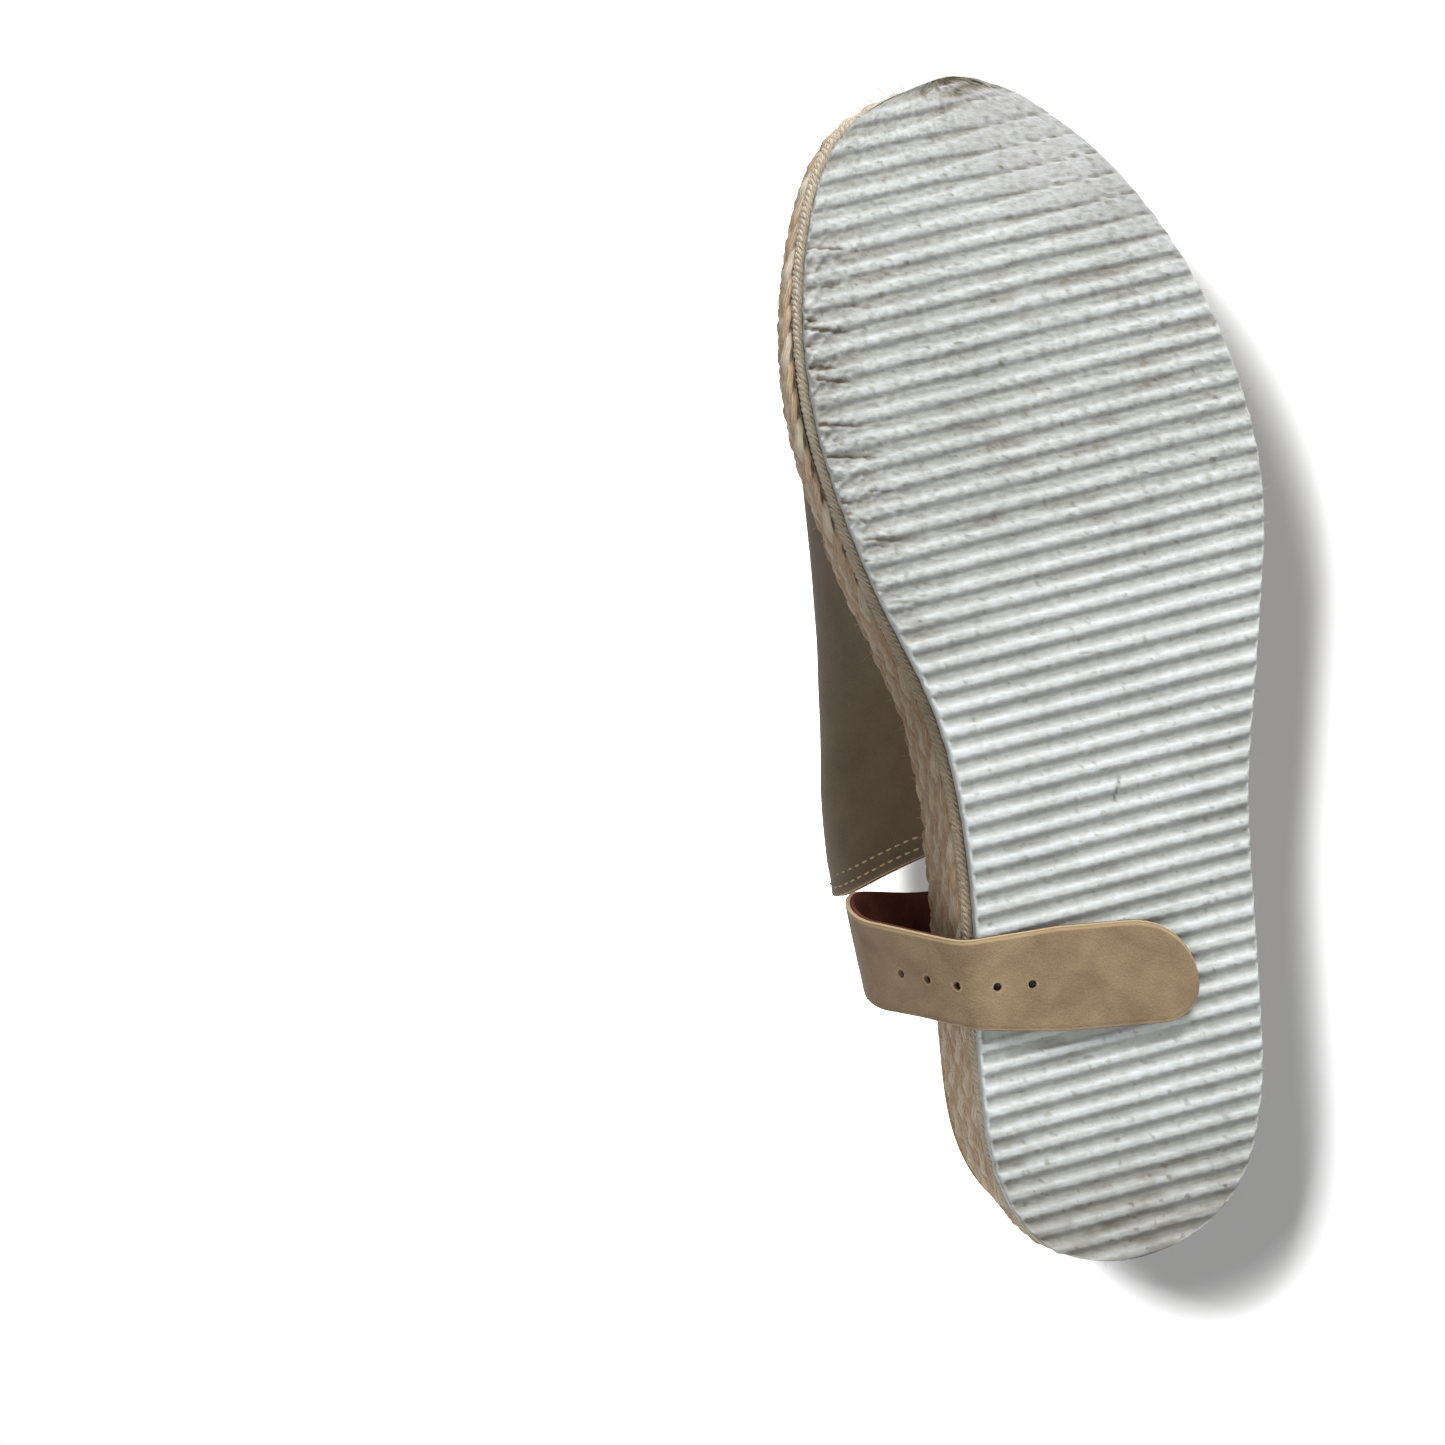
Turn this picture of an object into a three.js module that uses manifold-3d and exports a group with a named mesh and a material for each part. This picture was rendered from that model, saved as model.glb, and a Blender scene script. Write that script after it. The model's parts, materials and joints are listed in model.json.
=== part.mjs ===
// A left-foot wedge sandal: ribbed outsole, wedge wrapped in jute braid, padded footbed,
// leather vamp and heel counter, and a buckled instep strap.
// Millimetres. +Z is up, the toe points to -Y, the outer (buckle) side of the foot is +X.

import * as THREE from 'three';
import { mergeVertices } from 'three/addons/utils/BufferGeometryUtils.js';
import Module from 'manifold-3d';

const wasm = await Module();
wasm.setup();

// ---- Driving dimensions ----------------------------------------------------------------

const GAP = 0.3;                 // clearance between neighbouring pieces
const CENTRE_ACROSS = 5.36;      // plan point that lies over the origin, across the sole
const CENTRE_ALONG = 130;        // and along it, measured from the back of the heel

const OUTSOLE_THICK = 4.5;
const RIB = { pitchHeel: 4.6, pitchToe: 5.45, depth: 1.3, grooveTop: 2.7, grooveRoot: 1.2 };
const RIB_ANGLE = 6.8;           // degrees from square to the sole's long axis
const WORN_FROM = 245;           // the tread is worn smooth beyond this distance from the heel

const HEEL_HEIGHT = 46;          // wedge top over the outsole's tread, at the heel
const BALL_HEIGHT = 18.5;        // and under the ball and toes
const SHANK = { from: 68, to: 188 };
const TOE_SPRING = { from: 195, length: 65, lift: 4 };

const BAND_PITCH = 7;            // height of one turn of jute braid
const BAND_COUNT = 6;
const BAND_DEPTH = 6;            // how far the braid reaches in from the outsole's edge
const BOARD_THICK = 2;
const FOAM_THICK = 4;
const SOCK_THICK = 1;

const LEATHER = 1.2;             // outer leather
const LINING = 0.9;              // lining leather

const STRAP = { width: 22, hold: 1.1, back: 1.0 };       // outer and lining thickness
const STRAP_ROOT_ACROSS = -18.6; // inner end of the lasted-in root, beside the insole board
const STRAP_BEND_ACROSS = -26;   // first bend, just outside the wedge wall
const STRAP_LOOP = [[-38.4, 44], [-43.95, 29], [-38.1, 14]]; // next bends: across, height
const STRAP_HALF_ON_SOLE = 26.3; // each of the two straight stretches under the sole
const STRAP_THICK = STRAP.hold + GAP + STRAP.back;

const TAB = { along: 74, width: 20, height: 44, lean: 6 };
const BUCKLE = { inside: 23.4, arm: 3, reach: 24, thick: 2.5, barGap: 0.2, hang: 15 };
const KEEPER = { up: 9, tall: 8 };

const SOLE_Z = STRAP_THICK + GAP;                        // tread height over the origin
const WEDGE_Z = SOLE_Z + HEEL_HEIGHT;

// Outsole edge from the toe tip round the outer side: [across, distance from heel].
const OUTLINE = [
  [-2, 260.2], [19, 250.5], [37, 228], [50, 197], [54.6, 165], [49.5, 132], [42.8, 98],
  [40.2, 62], [37.2, 31], [28.5, 10.5], [8, 0], [-13.5, 4.2], [-22.3, 19], [-23.2, 48],
  [-20, 85], [-22.3, 120], [-34, 155], [-41.2, 190], [-39.5, 222], [-29, 250], [-15, 258.6],
];
const OUTLINE_STEPS = 72;
const SIDE_STEP = 6.5;           // spacing of the side profile's stations

// ---- Materials -------------------------------------------------------------------------

const finish = (colour, roughness, metalness = 0) =>
  new THREE.MeshStandardMaterial({ color: colour, roughness, metalness });

const FINISH = {
  crepe: finish(0xd3d8d6, 0.75),
  jute: finish(0xa8957b, 0.95),
  cork: finish(0x9a7650, 0.9),
  board: finish(0x8a6b4a, 0.9),
  foam: finish(0xd9d0bd, 0.95),
  sock: finish(0x6b2b25, 0.7),
  nubuck: finish(0x9b866b, 0.85),
  lining: finish(0x94562f, 0.75),
  stiffener: finish(0xc9c2b0, 0.9),
  metal: finish(0x8d8068, 0.35, 0.9),
};

// ---- Solids ----------------------------------------------------------------------------

function toSolid(geometry) {
  const bare = geometry.index ? geometry.toNonIndexed() : geometry.clone();
  bare.deleteAttribute('normal');
  bare.deleteAttribute('uv');
  const merged = mergeVertices(bare, 1e-4);
  return new wasm.Manifold(new wasm.Mesh({
    numProp: 3,
    vertProperties: new Float32Array(merged.attributes.position.array),
    triVerts: new Uint32Array(merged.index.array),
  }));
}

function toGeometry(solid) {
  const { vertProperties, triVerts } = solid.getMesh();
  const geometry = new THREE.BufferGeometry();
  geometry.setAttribute('position', new THREE.BufferAttribute(vertProperties, 3));
  geometry.setIndex(new THREE.BufferAttribute(triVerts, 1));
  geometry.computeVertexNormals();
  return geometry;
}

const row = (across, along) => [across - CENTRE_ACROSS, CENTRE_ALONG - along];

const extrude = (shape, depth) =>
  new THREE.ExtrudeGeometry(shape, { depth, bevelEnabled: false, steps: 1 });

// A shape drawn in (x, z) and extruded along y, centred on the given y.
function sideExtrude(shape, width, centreY) {
  return extrude(shape, width)
    .translate(0, 0, -width / 2)
    .rotateX(Math.PI / 2)
    .translate(0, centreY, 0);
}

const polygon = (points) => new THREE.Shape(points.map(([x, y]) => new THREE.Vector2(x, y)));

// ---- The sole's plan and side profile --------------------------------------------------

const edge = new THREE.CatmullRomCurve3(
  OUTLINE.map(([across, along]) => new THREE.Vector3(across, along, 0)), true, 'centripetal');

// The outsole's edge moved outwards by grow, a number or a function of the outward normal.
function planShape(grow) {
  const points = [];
  for (let i = 0; i < OUTLINE_STEPS; i += 1) {
    const at = edge.getPointAt(i / OUTLINE_STEPS);
    const along = edge.getTangentAt(i / OUTLINE_STEPS);
    const out = new THREE.Vector2(-along.y, along.x);
    const g = typeof grow === 'function' ? grow(out, at.y) : grow;
    points.push(row(at.x + out.x * g, at.y + out.y * g));
  }
  return polygon(points);
}

// The braid stands proud of the outsole, most of all along the inner side of the foot.
function braidProud(out, along) {
  const innerSide = Math.max(0, -out.x);
  return 1 + 2.3 * innerSide * THREE.MathUtils.smoothstep(along, 15, 95);
}

function spring(along) {
  const t = Math.max(0, along - TOE_SPRING.from) / TOE_SPRING.length;
  return TOE_SPRING.lift * t * t;
}

function wedgeTop(along) {
  const down = THREE.MathUtils.smoothstep(along, SHANK.from, SHANK.to);
  return HEEL_HEIGHT - (HEEL_HEIGHT - BALL_HEIGHT) * down;
}

const over = (height) => (along) => height + spring(along);
const overWedge = (height) => (along) => wedgeTop(along) + height + spring(along);

// A slab between two side curves, as wide as the whole sole.
function sideSlab(bottom, top, from = -10, to = 275) {
  const stations = [];
  for (let along = -10.4; along < 280; along += SIDE_STEP) {
    if (along > from && along < to) stations.push(along);
  }
  stations.unshift(from);
  stations.push(to);
  const floor = stations.map((along) => [along, bottom(along)]);
  const roof = stations.map((along) => [along, top(along)]).reverse();
  const span = 140;
  const turn = new THREE.Matrix4().makeBasis(
    new THREE.Vector3(0, -1, 0), new THREE.Vector3(0, 0, 1), new THREE.Vector3(-1, 0, 0));
  return toSolid(extrude(polygon([...floor, ...roof]), span)
    .applyMatrix4(turn)
    .translate(span / 2, CENTRE_ALONG, SOLE_Z));
}

const column = (grow) => toSolid(extrude(planShape(grow), 90));
const layer = (grow, bottom, top, to) => sideSlab(bottom, top, -10, to).intersect(column(grow));

// ---- Sole pieces -----------------------------------------------------------------------

function groove(along) {
  const { depth, grooveTop, grooveRoot } = RIB;
  const shape = polygon([
    [-grooveTop / 2, -1], [grooveTop / 2, -1], [grooveTop / 2, 0],
    [grooveRoot / 2, depth], [-grooveRoot / 2, depth], [-grooveTop / 2, 0],
  ]);
  const [x, y] = row(7, along);
  return toSolid(extrude(shape, 150)
    .translate(0, 0, -75)
    .rotateX(Math.PI / 2)
    .rotateZ(Math.PI / 2 - THREE.MathUtils.degToRad(RIB_ANGLE))
    .translate(x, y, SOLE_Z + spring(along)));
}

function outsole() {
  let solid = layer(0, over(0), over(OUTSOLE_THICK));
  let along = 4;
  while (along < WORN_FROM) {
    solid = solid.subtract(groove(along));
    along += THREE.MathUtils.mapLinear(along, 0, 260, RIB.pitchHeel, RIB.pitchToe);
  }
  return solid;
}

// Where the wedge's falling top comes down to a given height.
function shankReach(height) {
  let along = SHANK.from;
  while (wedgeTop(along) > height && along < SHANK.to) along += 0.5;
  return along;
}

function braid(index) {
  const low = OUTSOLE_THICK + GAP + index * BAND_PITCH;
  const high = Math.min(low + BAND_PITCH - GAP, HEEL_HEIGHT);
  const cut = (along) => Math.min(high, wedgeTop(along)) + spring(along);
  const reach = high > BALL_HEIGHT + GAP ? shankReach(low + 1) : 275;
  return layer(braidProud, over(low), cut, reach).subtract(column(-BAND_DEPTH));
}

const wedgeCore = () => layer(-BAND_DEPTH - GAP, over(OUTSOLE_THICK + GAP), overWedge(0));

function footbedLayer(grow, start, thickness) {
  return layer(grow, overWedge(start), overWedge(start + thickness));
}

// ---- Upper -----------------------------------------------------------------------------

// A closed sheet between two copies of a surface, inset by a and by b.
function sheet(surface, a, b, across, along) {
  const position = [];
  const index = [];
  const stride = along + 1;
  const count = (across + 1) * stride;
  for (const inset of [a, b]) {
    for (let i = 0; i <= across; i += 1) {
      for (let j = 0; j <= along; j += 1) {
        position.push(...surface(i / across, j / along, inset));
      }
    }
  }
  const quad = (p, q, r, s) => index.push(p, q, r, p, r, s);
  const at = (i, j, side) => side * count + i * stride + j;
  for (let i = 0; i < across; i += 1) {
    for (let j = 0; j < along; j += 1) {
      quad(at(i, j, 0), at(i + 1, j, 0), at(i + 1, j + 1, 0), at(i, j + 1, 0));
      quad(at(i, j, 1), at(i, j + 1, 1), at(i + 1, j + 1, 1), at(i + 1, j, 1));
    }
    quad(at(i, 0, 0), at(i, 0, 1), at(i + 1, 0, 1), at(i + 1, 0, 0));
    quad(at(i, along, 0), at(i + 1, along, 0), at(i + 1, along, 1), at(i, along, 1));
  }
  for (let j = 0; j < along; j += 1) {
    quad(at(0, j, 0), at(0, j + 1, 0), at(0, j + 1, 1), at(0, j, 1));
    quad(at(across, j, 0), at(across, j, 1), at(across, j + 1, 1), at(across, j + 1, 0));
  }
  const geometry = new THREE.BufferGeometry();
  geometry.setAttribute('position', new THREE.Float32BufferAttribute(position, 3));
  geometry.setIndex(index);
  geometry.computeVertexNormals();
  return geometry;
}

// The outsole's edge on one side (-1 inner, +1 outer) at a distance from the heel.
function edgeAcross(side, along) {
  let best = null;
  for (let i = 0; i < 400; i += 1) {
    const p = edge.getPoint(i / 400);
    if (Math.sign(p.x - 6) !== side) continue;
    if (best === null || Math.abs(p.y - along) < Math.abs(best.y - along)) best = p;
  }
  return best.x;
}

const profile = (pairs) => {
  const curve = new THREE.SplineCurve(pairs.map(([u, v]) => new THREE.Vector2(u, v)));
  const table = curve.getPoints(60);
  return (u) => {
    const i = table.findIndex((p) => p.x >= u);
    if (i <= 0) return table[i === 0 ? 0 : table.length - 1].y;
    const [p, q] = [table[i - 1], table[i]];
    return THREE.MathUtils.mapLinear(u, p.x, q.x, p.y, q.y);
  };
};

// Distance from the heel of the vamp's back and front edges, over the foot from inner to outer.
const vampBack = profile([[0, 90], [0.15, 83.5], [0.5, 104], [0.85, 97], [1, 98]]);
const vampFront = profile([[0, 191], [0.25, 198], [0.5, 202], [0.75, 194], [1, 184]]);
const VAMP = { toeHeight: 33, rise: 0.3, toeEnd: 205, bulgeOuter: 1.5 };
// How far the empty leather sags outwards on the inner side, by distance from the heel.
const vampSag = profile([[80, 27], [110, 27], [130, 23], [146, 17], [170, 9], [190, 3.5], [206, 1]]);

function vampSurface(u, v, inset) {
  const along = THREE.MathUtils.lerp(vampBack(u), vampFront(u), v);
  const inner = edgeAcross(-1, along) - 0.6;
  const outer = edgeAcross(1, along) + 0.6;
  const height = VAMP.toeHeight + (VAMP.toeEnd - along) * VAMP.rise - inset;
  const angle = Math.PI * u;
  const side = Math.sign(Math.cos(angle)) * Math.abs(Math.cos(angle)) ** 0.9;
  const half = (outer - inner) / 2 - inset;
  const belly = Math.sin(Math.min(1, 2.2 * Math.min(u, 1 - u)) * Math.PI);
  const bulge = belly * (u < 0.5 ? -vampSag(along) : VAMP.bulgeOuter);
  const [x, y] = row((inner + outer) / 2 - side * half + bulge, along);
  const foot = SOLE_Z + wedgeTop(along) + spring(along) + GAP;
  return [x, y, foot + height * Math.sin(angle) ** 0.85];
}

const COUNTER = { fromInner: 52, fromOuter: 60, backHeight: 50, sideHeight: 30, lean: 9 };

// The heel cup: u runs round the heel from the inner to the outer side, v runs up.
function counterSurface(u, v, inset) {
  const start = heelParameter(-1, COUNTER.fromInner);
  const end = heelParameter(1, COUNTER.fromOuter);
  const t = THREE.MathUtils.lerp(start, end, u);
  const at = edge.getPointAt(t);
  const along = edge.getTangentAt(t);
  const ends = Math.abs(2 * u - 1) ** 2.2;
  const height = THREE.MathUtils.lerp(COUNTER.backHeight, COUNTER.sideHeight, ends);
  const belly = 1.5 * Math.sin(Math.PI * v);
  const g = 0.6 - inset + belly - COUNTER.lean * v * v;
  const [x, y] = row(at.x - along.y * g, at.y + along.x * g);
  return [x, y, WEDGE_Z + GAP + height * v];
}

// Where the outsole's edge passes the counter's front end on a side.
function heelParameter(side, from) {
  let best = 0;
  let miss = Infinity;
  for (let i = 0; i < 400; i += 1) {
    const p = edge.getPointAt(i / 400);
    const off = Math.abs(p.y - from);
    if (Math.sign(p.x - 6) === side && off < miss) {
      best = i / 400;
      miss = off;
    }
  }
  return best;
}

const INSET = {
  outer: [0, LEATHER],
  stiffener: [LEATHER + GAP, LEATHER + GAP + 0.8],
  lining: [LEATHER + GAP, LEATHER + GAP + LINING],
  innerLining: [LEATHER + 2 * GAP + 0.8, LEATHER + 2 * GAP + 0.8 + LINING],
};

const vampSheet = ([a, b]) => sheet(vampSurface, b, a, 18, 8);
const counterSheet = ([a, b]) => sheet(counterSurface, b, a, 18, 5);

// ---- Instep strap ----------------------------------------------------------------------

// Bend points of the strap's middle line, from its root under the footbed to its tip.
function strapBends() {
  const middle = STRAP_THICK / 2;
  const places = [
    [STRAP_BEND_ACROSS, WEDGE_Z + GAP + middle],
    ...STRAP_LOOP,
    [STRAP_BEND_ACROSS, middle],
    [STRAP_BEND_ACROSS + STRAP_HALF_ON_SOLE, middle],
    [STRAP_BEND_ACROSS + 2 * STRAP_HALF_ON_SOLE, middle],
  ];
  return places.map(([across, z]) => [row(across, 0)[0], z]);
}

const PULL = 0.62;               // each stretch stops this far short of the bend
const SWING_PULL = 0.95;         // and further short of the first, which folds the most

// Distance from the heel of the strap's middle line, at a length along the strap.
const strapAlong = profile([
  [0, 64.5], [14, 67.5], [30, 69], [46, 67.6], [64, 64.4], [90, 62.4], [117, 61.6],
]);

// One straight stretch of one layer: between two bends, from depth a to depth b
// (0 is the face that is outside on the foot).
function strapStretch(start, end, lengths, [a, b], [near, far] = [PULL, PULL]) {
  const direction = new THREE.Vector2(end[0] - start[0], end[1] - start[1]);
  const run = direction.length();
  direction.normalize();
  const lift = STRAP_THICK / 2;
  const place = (t, depth) => [
    start[0] + direction.x * t + direction.y * (lift - depth),
    start[1] + direction.y * t - direction.x * (lift - depth),
  ];
  const corners = [place(near, a), place(run - far, a), place(run - far, b), place(near, b)];
  const geometry = sideExtrude(polygon(corners), STRAP.width, 0);
  const position = geometry.attributes.position;
  for (let i = 0; i < position.count; i += 1) {
    const t = (position.getX(i) - start[0]) * direction.x
      + (position.getZ(i) - start[1]) * direction.y;
    const along = strapAlong(THREE.MathUtils.lerp(lengths[0], lengths[1], t / run));
    position.setY(i, position.getY(i) + CENTRE_ALONG - along);
  }
  return geometry;
}

const STRAP_LAYERS = {
  outer: [0, STRAP.hold],
  lining: [STRAP.hold + GAP, STRAP_THICK],
};

// Five round holes through both layers, counted back from the tip.
const HOLES = { first: 35, pitch: 7.7, radius: 1, count: 5 };

function strapPieces() {
  const bends = strapBends();
  const pieces = [];
  for (const [layerName, depths] of Object.entries(STRAP_LAYERS)) {
    const rootStart = [row(STRAP_ROOT_ACROSS, 0)[0], bends[0][1]];
    const root = strapStretch(rootStart, bends[0], [0, 0], depths, [PULL, SWING_PULL]);
    pieces.push([`strap_root_${layerName}`, root]);
    let length = 0;
    for (let k = 0; k < 6; k += 1) {
      const lengths = [length, length + stretchLength(k)];
      const pulls = [k === 0 ? SWING_PULL : PULL, PULL];
      let solid = toSolid(strapStretch(bends[k], bends[k + 1], lengths, depths, pulls));
      if (k === 5) solid = solid.intersect(tipOutline(bends[6][0], strapAlong(lengths[1])));
      for (const hole of strapHoles(bends[k], bends[k + 1], lengths)) {
        solid = solid.subtract(hole);
      }
      pieces.push([`strap_${k + 1}_${layerName}`, toGeometry(solid)]);
      [, length] = lengths;
    }
  }
  return pieces;
}

function stretchLength(k) {
  const [[x, z], [nextX, nextZ]] = strapBends().slice(k, k + 2);
  return Math.hypot(nextX - x, nextZ - z);
}

// The strap's free end is rounded off in plan.
function tipOutline(tip, along) {
  const radius = STRAP.width / 2;
  const shoulder = tip - radius * 0.85;
  const [, y] = row(0, along);
  const keep = new THREE.Shape();
  keep.moveTo(tip - 40, y - radius - 3);
  keep.lineTo(shoulder, y - radius - 3);
  keep.lineTo(shoulder, y - radius);
  keep.bezierCurveTo(tip - 2, y - radius, tip, y - radius * 0.6, tip, y);
  keep.bezierCurveTo(tip, y + radius * 0.6, tip - 2, y + radius, shoulder, y + radius);
  keep.lineTo(shoulder, y + radius + 3);
  keep.lineTo(tip - 40, y + radius + 3);
  return toSolid(extrude(keep, 8).translate(-PULL, 0, -2));
}

// Cutters for the buckle holes that fall on one stretch of the strap.
function strapHoles(start, end, [from, to]) {
  const total = [0, 1, 2, 3, 4, 5].reduce((sum, k) => sum + stretchLength(k), 0);
  const direction = new THREE.Vector2(end[0] - start[0], end[1] - start[1]).normalize();
  const holes = [];
  for (let i = 0; i < HOLES.count; i += 1) {
    const at = total - HOLES.first - i * HOLES.pitch;
    if (at < from + 2 || at > to - 2) continue;
    holes.push(toSolid(new THREE.CylinderGeometry(HOLES.radius, HOLES.radius, 8, 10)
      .rotateX(Math.PI / 2)
      .rotateY(Math.atan2(direction.y, -direction.x))
      .translate(
        start[0] + direction.x * (at - from),
        CENTRE_ALONG - strapAlong(at),
        start[1] + direction.y * (at - from))));
  }
  return holes;
}

// ---- Buckle side -----------------------------------------------------------------------

const tabFoot = () => row(edgeAcross(1, TAB.along) + 0.6, TAB.along);
const BAR_RADIUS = BUCKLE.thick / 2;
const loopInner = BAR_RADIUS * Math.SQRT2 + BUCKLE.barGap;
const loopOuter = loopInner + LEATHER;

// The buckle's bar, inside the leather loop at the top of the tab, in the tab's own (x, z).
const BAR = [-loopOuter, TAB.height];

// The tab's outer leather: up the outside, over the bar and a short way down the inside.
function tabOuter() {
  const shape = new THREE.Shape();
  shape.moveTo(0, 0);
  shape.lineTo(0, TAB.height);
  shape.absarc(BAR[0], BAR[1], loopOuter, 0, Math.PI, false);
  shape.lineTo(BAR[0] - loopOuter, TAB.height - 10);
  shape.lineTo(BAR[0] - loopInner, TAB.height - 10);
  shape.lineTo(BAR[0] - loopInner, TAB.height);
  shape.absarc(BAR[0], BAR[1], loopInner, Math.PI, 0, true);
  shape.lineTo(-LEATHER, 0);
  const slot = new THREE.BoxGeometry(12, 3.4, 13).translate(BAR[0], 0, TAB.height - 0.5);
  return toGeometry(toSolid(sideExtrude(shape, TAB.width, 0)).subtract(toSolid(slot)));
}

function tabLining() {
  const outer = -LEATHER - GAP;
  const shape = polygon([
    [outer, 0], [outer, TAB.height - 7], [outer - LINING, TAB.height - 7], [outer - LINING, 0],
  ]);
  return sideExtrude(shape, TAB.width, 0);
}

// A rounded rectangular ring with straight sides, in (y, z), hanging down from its bar.
function buckleFrame() {
  const { inside, arm, reach, thick } = BUCKLE;
  const half = inside / 2 + arm;
  const top = BAR_RADIUS;
  const bottom = -reach;
  const ring = new THREE.Shape();
  const corner = 4;
  ring.moveTo(-half, top);
  ring.lineTo(-half, bottom + corner);
  ring.quadraticCurveTo(-half, bottom, -half + corner, bottom);
  ring.lineTo(half - corner, bottom);
  ring.quadraticCurveTo(half, bottom, half, bottom + corner);
  ring.lineTo(half, top);
  const hole = polygon([
    [-inside / 2, -BAR_RADIUS], [inside / 2, -BAR_RADIUS],
    [inside / 2, bottom + arm], [-inside / 2, bottom + arm],
  ]);
  ring.holes.push(hole);
  return extrude(ring, thick)
    .translate(0, 0, -thick / 2)
    .rotateX(Math.PI / 2)
    .rotateZ(Math.PI / 2);
}

// The prong: a hook round the bar and a finger that rests on the frame's far side.
function buckleProng() {
  const inner = loopInner;
  const outer = inner + 1.3;
  const lie = BAR_RADIUS + GAP;
  const shape = new THREE.Shape();
  shape.moveTo(lie, -BUCKLE.reach - 1);
  shape.lineTo(lie + 1.6, -BUCKLE.reach - 1);
  shape.lineTo(outer + 0.1, 0);
  shape.absarc(0, 0, outer, 0, 1.4 * Math.PI, false);
  shape.lineTo(Math.cos(1.4 * Math.PI) * inner, Math.sin(1.4 * Math.PI) * inner);
  shape.absarc(0, 0, inner, 1.4 * Math.PI, 0, true);
  return sideExtrude(shape, 2.4, 0);
}

// A flat leather loop round the tab that holds down the strap's free end.
function keeperLoop() {
  const out = STRAP_THICK + 1.4;
  const within = -LEATHER - GAP - LINING - GAP;
  const half = TAB.width / 2 + 0.6;
  const wall = 1.3;
  const ring = polygon([
    [-half - wall, within - wall], [half + wall, within - wall],
    [half + wall, out + wall], [-half - wall, out + wall],
  ]);
  ring.holes.push(polygon([[-half, within], [half, within], [half, out], [-half, out]]));
  return extrude(ring, KEEPER.tall).rotateZ(-Math.PI / 2).translate(0, 0, KEEPER.up);
}

// ---- Assembly --------------------------------------------------------------------------

const group = new THREE.Group();

function add(name, geometry, material, parent = group) {
  const mesh = new THREE.Mesh(geometry, material);
  mesh.name = name;
  parent.add(mesh);
  return mesh;
}

add('outsole', toGeometry(outsole()), FINISH.crepe);
add('wedge_core', toGeometry(wedgeCore()), FINISH.cork);
for (let k = 0; k < BAND_COUNT; k += 1) {
  add(`jute_braid_${k + 1}`, toGeometry(braid(k)), FINISH.jute);
}

const boardTop = GAP + BOARD_THICK;
const foamTop = boardTop + GAP + FOAM_THICK;
add('insole_board', toGeometry(footbedLayer(-4.2, GAP, BOARD_THICK)), FINISH.board);
add('footbed_foam', toGeometry(footbedLayer(-4.6, boardTop + GAP, FOAM_THICK)), FINISH.foam);
add('sock_lining', toGeometry(footbedLayer(-4.6, foamTop + GAP, SOCK_THICK)), FINISH.sock);

add('vamp_outer', vampSheet(INSET.outer), FINISH.nubuck);
add('vamp_lining', vampSheet(INSET.lining), FINISH.lining);
add('counter_outer', counterSheet(INSET.outer), FINISH.nubuck);
add('counter_stiffener', counterSheet(INSET.stiffener), FINISH.stiffener);
add('counter_lining', counterSheet(INSET.innerLining), FINISH.lining);

for (const [name, geometry] of strapPieces()) {
  add(name, geometry, name.endsWith('outer') ? FINISH.nubuck : FINISH.lining);
}

const [tabX, tabY] = tabFoot();
const tab = new THREE.Group();
tab.position.set(tabX, tabY, WEDGE_Z + GAP);
tab.rotation.y = -THREE.MathUtils.degToRad(TAB.lean);
group.add(tab);
add('buckle_tab_outer', tabOuter(), FINISH.nubuck, tab);
add('buckle_tab_lining', tabLining(), FINISH.lining, tab);
add('keeper_loop', keeperLoop(), FINISH.nubuck, tab);

const buckle = new THREE.Group();
buckle.position.set(BAR[0], 0, BAR[1]);
buckle.rotation.y = -THREE.MathUtils.degToRad(BUCKLE.hang);
tab.add(buckle);
add('buckle_frame', buckleFrame(), FINISH.metal, buckle);
add('buckle_prong', buckleProng(), FINISH.metal, buckle);

export default group;
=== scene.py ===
"""A left-foot wedge sandal seen from below: worn crepe sole, jute-braided wedge,
padded footbed, nubuck upper and an unbuckled instep strap lying under the sole."""

import json
import math
import random

import bmesh
import bpy
import numpy as np
from mathutils import Matrix, Vector, noise
from mathutils.bvhtree import BVHTree


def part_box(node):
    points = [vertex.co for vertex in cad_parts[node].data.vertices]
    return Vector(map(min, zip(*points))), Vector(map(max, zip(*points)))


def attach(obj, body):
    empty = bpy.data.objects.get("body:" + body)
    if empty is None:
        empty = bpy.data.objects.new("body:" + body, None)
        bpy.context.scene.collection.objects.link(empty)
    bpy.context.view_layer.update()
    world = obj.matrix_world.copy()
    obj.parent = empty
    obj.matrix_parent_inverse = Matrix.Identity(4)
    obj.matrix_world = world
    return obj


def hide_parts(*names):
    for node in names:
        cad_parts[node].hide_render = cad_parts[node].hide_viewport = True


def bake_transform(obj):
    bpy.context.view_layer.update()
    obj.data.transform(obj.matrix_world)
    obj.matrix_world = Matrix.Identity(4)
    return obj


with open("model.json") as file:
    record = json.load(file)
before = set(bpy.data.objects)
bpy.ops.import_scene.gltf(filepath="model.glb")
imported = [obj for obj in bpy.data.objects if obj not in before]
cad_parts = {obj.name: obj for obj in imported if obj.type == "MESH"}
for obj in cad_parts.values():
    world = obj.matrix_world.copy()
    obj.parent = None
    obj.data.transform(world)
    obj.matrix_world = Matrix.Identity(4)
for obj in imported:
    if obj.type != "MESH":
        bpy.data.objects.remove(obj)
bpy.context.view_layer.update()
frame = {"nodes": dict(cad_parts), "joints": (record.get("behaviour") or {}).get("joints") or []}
MM = 0.001

# ---- Driving dimensions, in millimetres ------------------------------------------------

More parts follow.
